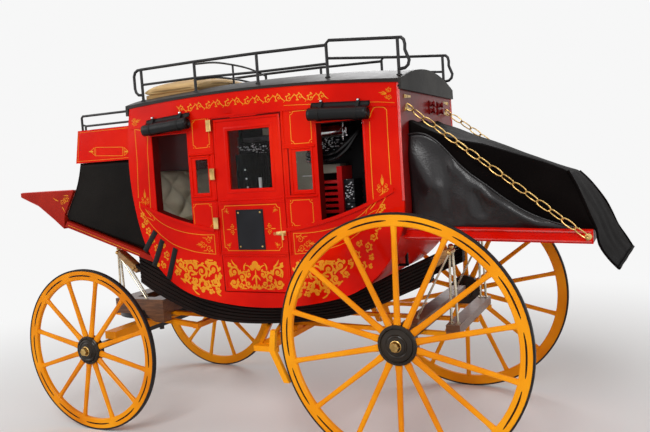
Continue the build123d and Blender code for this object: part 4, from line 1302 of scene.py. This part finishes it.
def thoroughbraces():
    """Leather straps of many layers, hung under the belly."""
    edges = [(Vector(high), Vector(low)) for high, low in zip(smooth(BRACE_TOP, 4), smooth(BRACE_LOW, 4))]
    straps = Build()
    for layer in range(BRACE_LAYERS):
        trim = 3.0 * abs(layer - (BRACE_LAYERS - 1) / 2)
        rings = []
        for high, low in edges:
            a = high.lerp(low, (layer + 0.03) / BRACE_LAYERS)
            b = high.lerp(low, (layer + 0.94) / BRACE_LAYERS)
            if a.x < BRACE_ENDS[0] + trim or a.x > BRACE_ENDS[1] - trim:
                continue
            inset = 0.5 + 0.5 * wave(layer * 37.0, a.x, 0, 60.0)
            y0, y1 = BRACE_SIDES[0] + inset, BRACE_SIDES[1] - inset
            c = min(1.0, abs(a.y - b.y) * 0.2)
            over = [(a.x, y0 + c, a.y), (a.x, y1 - c, a.y), (a.x, y1, a.y - c)]
            under = [(b.x, y1, b.y + c), (b.x, y1 - c, b.y), (b.x, y0 + c, b.y), (b.x, y0, b.y + c)]
            rings.append(over + under + [(a.x, y0, a.y - c)])
        straps.loft(rings)
    straps.mirrored()
    straps.make("thoroughbrace_layers", "strap_leather", slot="leather", replaces=["thoroughbraces"])


# Stands: x, foot z, stay foot x and z, its y, link end x and z
STANDS = [
    (-57.0, 202.0, -2.0, 212.7, 115.0, -31.0, 296.0),
    (608.0, 226.3, 546.0, 226.3, 104.0, 560.0, 281.0),
]
STAND_HEAD = 316
STAND_Y = 100
STAY_TOP = 313
BALL_HEAD = [
    (0.1, -6), (4.4, -6), (4.8, -4.6), (3.2, -2.6), (3.0, 0),
    (4.3, 1.2), (4.8, 3.4), (3.4, 5.8), (1.2, 6.8), (0.05, 7),
]
# A link's section, then its share of the length, half width and half height along it
LINK_SECTION = ((-1, -0.8), (-0.85, -1), (0.85, -1), (1, -0.8), (1, 0.8), (0.85, 1), (-0.85, 1), (-1, 0.8))
LINK_SHAPE = ((0.0, 6.5, 5.0), (0.12, 8.4, 6.2), (0.5, 9.0, 6.5), (0.9, 9.0, 6.4), (1.0, 8.4, 5.8))


def stands():
    rods = Build()
    heads = Build()
    links = Build()
    for x, foot, stay_x, stay_z, stay_y, link_x, link_z in STANDS:
        toward = 1 if stay_x > x else -1
        stay_foot = (stay_x, stay_y, stay_z)
        for aside in (-1, 1):
            leg = [(x + 5 * aside, foot), (x + 3.8 * aside, 270), (x + 2.4 * aside, 314)]
            rods.tube(at_y(STAND_Y, leg), 2.1, 12)
            collar = [(2.1, 0), (4.4, 0), (4.4, 1.6), (2.6, 2.4), (2.1, 2.4)]
            rods.lathe(collar, (x + 5 * aside, STAND_Y, foot), "z", 16, closed=True)
        rods.tube([(x, stay_y, STAY_TOP), stay_foot], 1.7)
        rods.lathe([(0.2, 0), (3.6, 0), (3.6, 1.4), (0.2, 2.0)], stay_foot, "z", 14, closed=True)
        if x > 0:
            rods.tube([(x, 94, STAY_TOP), (x + (stay_x - x) * 0.8, 86, stay_z)], 1.7)
        # Brass head: a crossbar with end knobs and a ball on a collar
        heads.tube([(x, 91, STAND_HEAD), (x, stay_y + 1, STAND_HEAD)], 4.4, 14)
        for y in (91, stay_y + 1.4):
            heads.ball((x, y, STAND_HEAD), 3.6)
        heads.lathe(BALL_HEAD, (x, STAND_Y, STAND_HEAD + 4.5), "z", 20)
        # Wooden link down to the leather, with brass plates at its ends
        a = Vector((x + 3 * toward, STAND_Y, STAND_HEAD))
        b = Vector((link_x, STAND_Y, link_z))
        side = Vector((0, 1, 0))
        high = side.cross((b - a).normalized())
        rings = []
        for share, w, h in LINK_SHAPE:
            p = a.lerp(b, share)
            rings.append([p + side * (c * w) + high * (d * h) for c, d in LINK_SECTION])
        links.loft(rings)
        p = a.lerp(b, 0.86)
        heads.tube([p - side * 10.2, p + side * 10.2], 2.4, 12)
        for s in (1, -1):
            heads.ball(tuple(p + side * (10.4 * s)), 2.9)
    rods.mirrored().make("stand_rods", "rod_steel", replaces=["stands"])
    heads.mirrored().make("stand_heads", "brass")
    links.mirrored().make("stand_links", "link_wood", slot="bed_wood")


rear_boot()
front_boot()
for roll in ROLLS:
    for side, sign in SIDES:
        curtain_roll(*roll, side, sign)
thoroughbraces()
stands()


def cushion(low, high, crown, pull, cells, buttons=()):
    """A stuffed pad in the box from low to high: crowned top, sides that pull in between its corners."""
    x0, y0, z0 = low
    x1, y1, z1 = high
    nx, ny = cells
    edge = 0.42 * (z1 - z0)

    def place(i, j, over):
        s = -math.cos(math.pi * i / nx)
        t = -math.cos(math.pi * j / ny)
        waist_x = pull * math.cos(math.pi * t / 2) ** 2
        waist_y = pull * math.cos(math.pi * s / 2) ** 2
        x = (x0 + x1) / 2 + s * ((x1 - x0) / 2 - waist_x)
        y = (y0 + y1) / 2 + t * ((y1 - y0) / 2 - waist_y)
        bulge = ((1 - s ** 8) * (1 - t ** 8)) ** 0.4
        if not over:
            return (x, y, z0 + edge * (1 - bulge))
        z = z0 + edge + (z1 - crown - z0 - edge) * bulge + crown * (1 - s * s) * (1 - t * t)
        for bx, by, depth, reach in buttons:
            near = math.hypot(x - bx, y - by)
            z -= depth * math.exp(-((near / reach) ** 1.4))
        return (x, y, z + 0.5 * wave(x, y, 0, 30.0, 3.0) * bulge)

    pad = Build()
    for over in (True, False):
        pad.skin([[place(i, j, over) for j in range(ny + 1)] for i in range(nx + 1)])
    return pad


ROOF_SEAT_HALF = 111


def arched(pad):
    """Lifts the points of the roof seat so that they follow the roof's arch."""
    half = ROOF_SEAT_HALF
    points = []
    for x, y, z in pad.points:
        points.append((x, y, z + ROOF_CROWN * (half ** 2 - min(abs(y), half) ** 2) / ROOF_HALF ** 2))
    pad.points = points


def roof_seat():
    """The seat on the roof's front: a leather pad with welts, on a curved board."""
    buttons = [(x, y, 2.6, 7.0) for x in (414, 470) for y in (-78, -26, 26, 78)]
    pad = cushion((381, -ROOF_SEAT_HALF, 604), (502, ROOF_SEAT_HALF, 627.5), 4.0, 2.5, (30, 44), buttons)
    arched(pad)
    piece = pad.make("roof_seat_pad", "tan_seat", replaces=["roof_seat"], angle=70)
    base = Build()
    ys = [-109 + 218 * j / 20 for j in range(21)]
    rings = []
    for x in (384, 500):
        over = [(x, y, roof_z(440, y) + 3.6) for y in reversed(ys)]
        rings.append([(x, y, roof_z(x, y) - 0.4) for y in ys] + over)
    base.loft(rings)
    base.make("roof_seat_base", "tan_board", slot="tan_seat")
    welt = Build()
    path = []
    corners = rect(383, 500.5, -109.5, 109.5)
    for (x, y), (next_x, next_y) in zip(corners, corners[1:] + corners[:1]):
        for i in range(10):
            t = (i + 0.5) / 10
            path.append((x + (next_x - x) * t, y + (next_y - y) * t, 614.0))
    welt.tube(path, 1.3, 8, closed=True)
    for x, y, _, _ in buttons:
        welt.ball((x, y, 622.4), 2.6, 0.6, 12)
    arched(welt)
    welt.make("roof_seat_welt", "tan_board", slot="tan_seat")


# Roof rails: x and z along the top, from the front's loop back to the step before the raised rear part
RAIL_Y = 124.0
LOW_TOP = [
    (495, 609), (505, 610), (510, 615), (512, 622), (512, 644), (509, 651),
    (503, 654.5), (495, 655), (377, 655), (250, 653.5), (121, 649.8),
]
HIGH_TOP = [
    (121, 597), (121, 652), (116, 656.5), (2, 645.5), (-4, 645), (-8, 641), (-9.5, 634),
    (-9, 626), (-12, 618), (-15, 610), (-13, 603), (-8, 599), (2, 598),
]
LOW_MIDDLE = [(495, 627.5), (377, 627), (250, 622.5), (121, 620.5)]
HIGH_MIDDLE = [(121, 629), (2, 616)]
RAIL_POSTS = ((2, 645.5), (250, 653.5), (377, 655), (495, 655))
ARCH_X = 377
RAIL_ARCH = [(-124, 651), (-62, 660), (0, 662), (62, 660), (124, 651)]
SEAT_RAIL_Y = 139


def roof_rails():
    rails = Build()
    for path, radius in ((LOW_TOP, 2.6), (HIGH_TOP, 2.6), (LOW_MIDDLE, 2.2), (HIGH_MIDDLE, 2.2)):
        rails.tube(at_y(RAIL_Y, path), radius)
    for x, top in RAIL_POSTS:
        rails.tube(at_y(RAIL_Y, [(x, roof_z(x, RAIL_Y) - 1.0), (x, top)]), 2.6)
    # Rails of the driver's seat
    rails.tube(at_y(SEAT_RAIL_Y, [(634, 554), (634, 579), (631, 582), (515, 582)]), 2.2)
    rails.tube(at_y(SEAT_RAIL_Y, [(626, 554), (626, 561), (624, 563), (518, 563)]), 2.0)
    rails.tube(at_y(SEAT_RAIL_Y, [(634, 566), (624, 563)]), 1.8, 8)
    rails.mirrored()
    for drop in (0.0, 27.0):
        rails.tube([(ARCH_X, y, z - drop) for y, z in smooth(RAIL_ARCH, 4)], 2.0)
    rails.tube([(ARCH_X, 0, roof_z(ARCH_X, 0) - 1.0), (ARCH_X, 0, 662)], 2.0)
    foot = [(0.1, 0), (5.0, 0), (4.6, 1.6), (3.0, 2.6), (0.1, 2.8)]
    for x in (2, 121, 250, 377, 495):
        for sign in (1, -1):
            rails.lathe(foot, (x, sign * RAIL_Y, roof_z(x, RAIL_Y) - 0.6), "z", 14)
    rails.make("roof_rails", "black_iron", replaces=["rails"], angle=50)


# Backrest: its lower and upper end, half its width, and the spacing of its tufts
BACK_LOW = 368.0
BACK_HIGH = 468.0
BACK_HALF = 128.0
TUFT_Y = 34.0
TUFT_Z = 30.0
TUFT_START = 380.0


def tufted(z, y):
    """The backrest's face: buttons on a staggered grid, with creases along the diagonals."""
    lean = 478.0 + 12.0 * (z - 372.0) / 96.0
    u = y / TUFT_Y
    v = (z - TUFT_START) / TUFT_Z
    a = abs(math.sin(math.pi * (u + v) / 2.0))
    b = abs(math.sin(math.pi * (u - v) / 2.0))
    puff = 9.5 * (a * b) ** 0.5
    end = max(0.0, min(1.0, (z - BACK_LOW) / 8.0, (BACK_HIGH - z) / 8.0, (BACK_HALF - abs(y)) / 8.0))
    return lean + 8.0 - puff * end ** 0.6 - 4.0 * end


def backrest():
    """Tufted backrest and bench before the cabin's front wall."""
    pad = Build()
    rows, columns = 34, 84
    ys = [-BACK_HALF + 2 * BACK_HALF * j / columns for j in range(columns + 1)]
    zs = [BACK_LOW + (BACK_HIGH - BACK_LOW) * i / rows for i in range(rows + 1)]
    grid = [[(tufted(z, y), y, z) for y in ys] for z in zs]
    back = [[(front_x(z) - 7.0, y, z) for y in ys] for z in zs]
    pad.skin(grid)
    pad.skin(back)
    for i in (0, -1):
        pad.skin([grid[i], back[i]])
    for j in (0, -1):
        pad.skin([[row[j] for row in grid], [row[j] for row in back]])
    piece = pad.make("cabin_backrest", "beige_cushion", replaces=["cabin_seat"], angle=80)
    face_outwards(piece.data, join=True)
    buttons = Build()
    for i in range(-1, 4):
        for j in range(-4, 5):
            z = TUFT_START + TUFT_Z * i
            y = TUFT_Y * j
            if (i + j) % 2 == 0 and BACK_LOW + 6 < z < BACK_HIGH - 6 and abs(y) < 122:
                centre = (tufted(z, y) + 0.4, y, z)
                buttons.lathe([(0.1, -1.2), (1.6, -0.8), (2.4, 0.2), (2.2, 1.4)], centre, "x", 12)
    buttons.make("cabin_backrest_buttons", "beige_cushion", angle=60)
    dents = [(462, y, 3.0, 8.0) for y in (-85, -28, 28, 85)]
    seat = cushion((432, -127, 330), (front_x(350) - 8.0, 127, 367), 4.0, 1.5, (20, 40), dents)
    seat.make("cabin_bench", "beige_cushion", angle=70)


CHAIN_START = (-5, 112, 541)
CHAIN_STOP = (-258, 130.5, 338)
CHAIN_LINKS = 15
CHAIN_THICK = 1.05
RACK_Y = 123.5
STAPLE_Y = 124.0


def chains():
    """Oval links, each turned across the last."""
    chain = Build()
    start = Vector(CHAIN_START)
    stop = Vector(CHAIN_STOP)
    run = (stop - start).normalized()
    pitch = (stop - start).length / (CHAIN_LINKS + 0.5)
    half = pitch / 2 + 0.9
    side = run.cross(Vector((0, 1, 0))).normalized()
    flat = run.cross(side).normalized()
    for i in range(CHAIN_LINKS + 1):
        centre = start + run * (pitch * i)
        turn = math.radians(45 if i % 2 else -45)
        wide = side * math.cos(turn) + flat * math.sin(turn)
        grip = 1.0 if i else 0.75
        link = []
        for c, s in circle(1.0, 28):
            along = half * grip * math.copysign(abs(c) ** 0.72, c)
            link.append(centre + run * along + wide * (5.0 * math.copysign(abs(s) ** 0.9, s)))
        if i == 0:
            link = [Vector((min(p.x, -2.0), p.y, p.z)) for p in link]
        chain.tube(link, CHAIN_THICK, 8, closed=True)
    x, _, z = CHAIN_STOP
    chain.tube([(x, 121, z), (x, 136, z)], 1.7, 12)
    chain.ball((x, 136.5, z), 3.0)
    chain.lathe([(0.1, 0), (5.0, 0), (5.0, 1.2), (0.1, 2.0)], (x, 122.2, z), "y", 18, closed=True)
    chain.mirrored().make("chain_links", "brass", replaces=["chains"])


KNOB = [
    (5.4, 0.0), (5.4, -2.0), (3.6, -3.4), (3.0, -5.0), (4.8, -6.6), (5.2, -8.2), (3.8, -10.0), (0.1, -10.6),
]


def rear_wall():
    """Staples, knobs and the bead of the rear wall over the boot."""
    wall = on_wall(REAR_WALL_X, -1)
    brass = Build(wall)
    for sign in (1, -1):
        for z in (557.0, 537.5):
            y = STAPLE_Y * sign
            brass.band([(y, z), (y - 30 * sign, z + 1.0)], 6.5, 1.2, lambda t: 1 - 0.45 * t)
            brass.dot(y - 4 * sign, z, 2.0, 2.4, 12)
            brass.dot(y - 14 * sign, z + 0.4, 1.4, 1.8)
        brass.dot(112 * sign, 541, 6.0, 1.4, 18)
    brass.make("rear_wall_staples", "brass")
    knobs = Build()
    for y in (-10.0, -60.0):
        for z in (551.0, 540.0):
            knobs.lathe(KNOB, (REAR_WALL_X, y, z), "x", 18)
        knobs.box(-5.0, -2.5, y - 6.0, y + 6.0, 534, 557, 1.0)
    knobs.make("rear_wall_knobs", "dark_red", slot="red_paint")
    bead = Build(wall)
    bead.line([(-150, 571), (150, 571)], 3.0, 1.2)
    bead.make("rear_wall_bead", "stripe_black", slot="black_iron")
    # Corner beads in the lighter red: painted highlight on the rear corners
    corners = Build()
    heights = [400.0 + 175.0 * i / 10 for i in range(11)]
    corners.tube([(-2.2, side_y(-2.2, z) - 0.6, z) for z in heights], 2.4, 12)
    corners.mirrored().make("rear_corner_beads", "gloss_red_painted_highlight", slot="red_paint")
    # Grooved rails of the rack, in the lighter red as painted highlight
    rail = Build(on_flank(RACK_Y))
    for rise in (3.2, 16.6):
        rail.line([(-262, 328 + rise), (11, 338 + rise)], 2.6, 0.9)
    rail.mirrored().make("rack_mouldings", "gloss_red_painted_highlight", slot="red_paint")


# Gold panels of the driver's seat box, each a closed line as (x, z)
SEAT_PANELS = [
    [(538, 501.8), (604, 505.8), (602.5, 521.5), (537, 517.5)],
    [(606, 506.5), (606, 521), (615, 514.5)],
    [(534, 502), (534, 516.5), (524, 508.5)],
]
SEAT_EDGE = [(516, 497.5), (650, 497.5), (641, 551.5), (516, 551.5)]
FOOTBOARD_LEAVES = [(704, 412, 220, 12, 40, 1.8), (684, 433, 20, 14, -30, 1.6), (712, 424, 10, 16, 30, 1.6)]
FOOTBOARD_LOW = [(706, 370.8), (730, 389.4), (750, 403.6), (768, 416.4), (790, 425.3), (812, 434.4)]
FOOTBOARD_HIGH = [(673, 443), (744, 443), (812, 442.6)]
SEAT_BOX_Y = 143.0
FOOTBOARD_Y = 142.0
FOOTBOARD_EDGE_Y = 139.5


def driver_place():
    """Gold lines of the seat box, the footboard's flourish, beads along its edges in the lighter red as
    painted highlight, and the seat's pad.
    """
    gold = Build(on_flank(SEAT_BOX_Y))
    for panel in SEAT_PANELS:
        gold.line(panel, 0.9, 0.3, closed=True)
    gold.leaf(609, 514, 3, 11, 0, 3.2)
    gold.leaf(533, 509, 183, 11, 0, 3.2)
    gold.line(SEAT_EDGE, 0.7, 0.25, closed=True)
    part = Build(on_flank(FOOTBOARD_Y))
    part.curl(702, 420, 5.5, 200, -1, 1.2, 3)
    part.curl(690, 428, 6.0, 20, -1, 1.2, 4)
    part.leaves(FOOTBOARD_LEAVES)
    gold.also(part)
    gold.mirrored().make("driver_gold_leaf", "gold_leaf", slot="red_paint")
    # Beads in the lighter red along the footboard's edges: painted highlight
    edge = Build()
    edge.tube(at_y(FOOTBOARD_EDGE_Y, FOOTBOARD_LOW), 1.7)
    edge.tube(at_y(FOOTBOARD_EDGE_Y, FOOTBOARD_HIGH), 1.6)
    edge.mirrored().make("footboard_beads", "gloss_red_painted_highlight", slot="red_paint")
    lower = Build(on_flank(FOOTBOARD_Y))
    lower.line([(520, 317.5), (692, 375.6)], 1.0, 0.3)
    lower.mirrored().make("boot_frame_line", "gold_leaf", slot="red_paint")
    pad = cushion((520, -132, 555.0), (622, 132, 557.8), 1.0, 1.0, (14, 24))
    pad.make("driver_seat_pad", "front_leather", slot="leather", angle=70)


roof_seat()
roof_rails()
backrest()
chains()
rear_wall()
driver_place()


# The board's face, and the spacings of its card slots and memory slots
BOARD_Y = 60.0
SLOT_PITCH = 20.32
MEMORY_PITCH = 9.9
# Boxes on the board: x0, x1, how far their near and far sides stand over it, z0, z1, bevel
CARD_SLOTS = [(192.5 + SLOT_PITCH * i, 198.5 + SLOT_PITCH * i, 0, 11.0, 300, 411, 0.8) for i in range(5)]
MEMORY_ROWS = [380 + MEMORY_PITCH * i for i in range(6)]
MEMORY_SLOTS = [(126, 163, 0, 34.0, z - 0.6, z + 4.6, 0.6) for z in MEMORY_ROWS]
MEMORY_MODULES = [(99, 117, 4, 38.0, z - 3.6, z + 5.8, 0.8) for z in MEMORY_ROWS]
MEMORY_END = [(117.5, 127, 0, 42.0, 372, 457, 0.8)]
DOOR_FINS = []
for f in range(18):
    DOOR_FINS.append((253 + 4.3 * f, 254.7 + 4.3 * f, 0, 22.0 + 4.0 * (f % 3), 412, 484 + 5.0 * (f % 2), 0.3))
DOOR_BAR = [(254, 312, 0, 26.0, 510, 517, 0.8)]
PALE_CARDS = [
    (176, 211, 2, 26, 414, 490, 1.2), (128, 160, 0, 24, 446, 461, 1.0), (253, 272, 0, 24, 519, 531, 1.0),
]
LABELS = [(277.5, 282.5, 29, 32.0, 428, 446, 0.4), (180, 198, 25.4, 26.6, 443, 444.4, 0.2)]
CHIP_BASES = [(117, 163, 0, 14.2, 482, 507, 1.0), (252, 330, 0, 12.2, 486, 509, 1.0)]
SINK_BASE = [(36, 60, 0, 4.0, 300, 440, 0.5)]
SINK_FINS = [(37, 59, 4.0, 20, 301 + 5 * f, 302.8 + 5 * f, 0.3) for f in range(28)]
TANK_FEET = [(x, x + 6, 0, 16, 508, 516, 0.8) for x in (118, 150)]
TANK_BLOCKS = [(178, 186, 0, 30, 466, 486, 1.0), (74, 84, 0, 26, 516, 530, 1.0)]
BOARD_FRAME = [
    (26, 334, 0, 5.0, 286, 290, 0.6), (26, 334, 0, 5.0, 534, 538, 0.6),
    (26, 30, 0, 5.0, 286, 538, 0.6), (330, 334, 0, 5.0, 286, 538, 0.6),
]
# Small pale parts: those under the tank, those on the dark modules, and the rest behind the door's glass
SMALL_PARTS = 150
TANK_PARTS = 56
MODULE_PARTS = 90
ROUND_LABELS = ((309, 461), (307.5, 445), (306, 430), (290, 502), (268, 500))
CAN = [(0.1, 0), (4.0, 0), (4.0, 9), (3.4, 9.8), (0.1, 9.8)]
TANK = [
    (0.1, 104), (11, 104), (13.6, 106), (13.6, 112), (13.0, 113),
    (13.0, 155), (13.6, 156), (13.6, 162), (11, 164), (0.1, 164),
]
REAR_TUBE = [(66, 84, 470), (60, 100, 430), (70, 104, 392), (84, 96, 360), (90, 84, 344)]


def on_board(part, *tables):
    for table in tables:
        for x0, x1, near, far, z0, z1, cut in table:
            part.box(x0, x1, BOARD_Y + near, BOARD_Y + far, z0, z1, cut)


def scatter(gain, *place):
    """A share of about 0 to 1 that follows from a place in the noise."""
    return 0.5 + 0.5 * noise.noise(Vector(place)) * gain


def board_details():
    chips = Build()
    metal = Build()
    card_slots = Build()
    on_board(card_slots, CARD_SLOTS, MEMORY_SLOTS, MEMORY_END)
    on_board(chips, MEMORY_MODULES)
    for k in range(60):
        x = min(314, max(36, 42 + 266 * scatter(1.6, k * 1.7, 0.3, 0.1)))
        z = min(520, max(298, 300 + 224 * scatter(1.6, 0.4, k * 2.3, 5.1)))
        w = 3 + 4 * abs(noise.noise(Vector((k * 0.7, 9.1, 0.0))))
        on_board(metal if k % 3 == 0 else chips, [(x, x + w, 0, 3.0 + k % 4, z, z + w * 0.8, 0.4)])
    # Behind the door's glass: upright fins, and a bar over them
    on_board(chips, DOOR_FINS)
    on_board(metal, DOOR_BAR)
    pale = Build()
    on_board(pale, PALE_CARDS)
    pale.make("board_pale_card", "pale_card", slot="tray")
    label = Build()
    for x, z in ROUND_LABELS:
        label.lathe([(0.1, 0), (1.8, 0), (1.6, 1.0), (0.1, 1.2)], (x, BOARD_Y + 31, z), "y", 12)
    on_board(label, LABELS)
    for k in range(SMALL_PARTS):
        u = scatter(1.7, k * 1.3, 7.7, 0.4)
        v = scatter(1.7, 2.4, k * 1.9, 8.1)
        if k < TANK_PARTS:
            x, z, near = 118 + 44 * u, 484 + 22 * v, 14
        elif k < MODULE_PARTS:
            x, z, near = 101 + 13 * u, 378 + 60 * v, 37.4
        else:
            x, z, near = 254 + 74 * u, 487 + 20 * v, 12
        on_board(label, [(x, x + 1.2 + 0.8 * (k % 3), near, near + 1.4, z, z + 1.0 + 0.7 * (k % 2), 0.2)])
    on_board(chips, CHIP_BASES)
    label.make("board_labels", "label_white", slot="tray")
    on_board(metal, SINK_BASE, SINK_FINS)
    for k in range(9):
        metal.lathe(CAN, (76 + 11 * k, BOARD_Y, 300 + 9 * (k % 2)), "y", 16)
    chips.make("board_chips", "chip_black", slot="board")
    metal.make("board_metal", "dull_metal", slot="tray")
    card_slots.make("board_slots", "slot_red", slot="cards")
    # Soft tubes that sweep up from the door's side to the rear, and a bright tank with its fittings
    tubes = Build()
    for shift in (0.0, 9.0):
        path = [(184, 92, 474 + shift * 0.6), (160, 96, 468 + shift), (131, 100, 470 + shift)]
        path += [(108, 98, 484 + shift), (92, 92, 506 + shift * 0.4), (80, 84, 522)]
        tubes.tube(smooth(path), 3.8, 14)
    tubes.tube(smooth(REAR_TUBE), 4.2, 14)
    tubes.make("cooling_tubes", "tube_black", slot="cooling", replaces=["cooling"])
    tank = Build()
    tank.lathe(TANK, (0, 86, 518), "x", 32)
    on_board(tank, TANK_FEET)
    tank.tube([(112, 98, 530), (113, 98, 500)], 1.3)
    for x, z in ((113, 505), (106, 507)):
        tank.ball((x, 98, z), 2.6)
    on_board(tank, TANK_BLOCKS)
    tank.make("cooling_tank", "chrome", slot="cooling")
    border = Build()
    on_board(border, BOARD_FRAME)
    border.make("board_frame", "chip_black", slot="tray")


board_details()
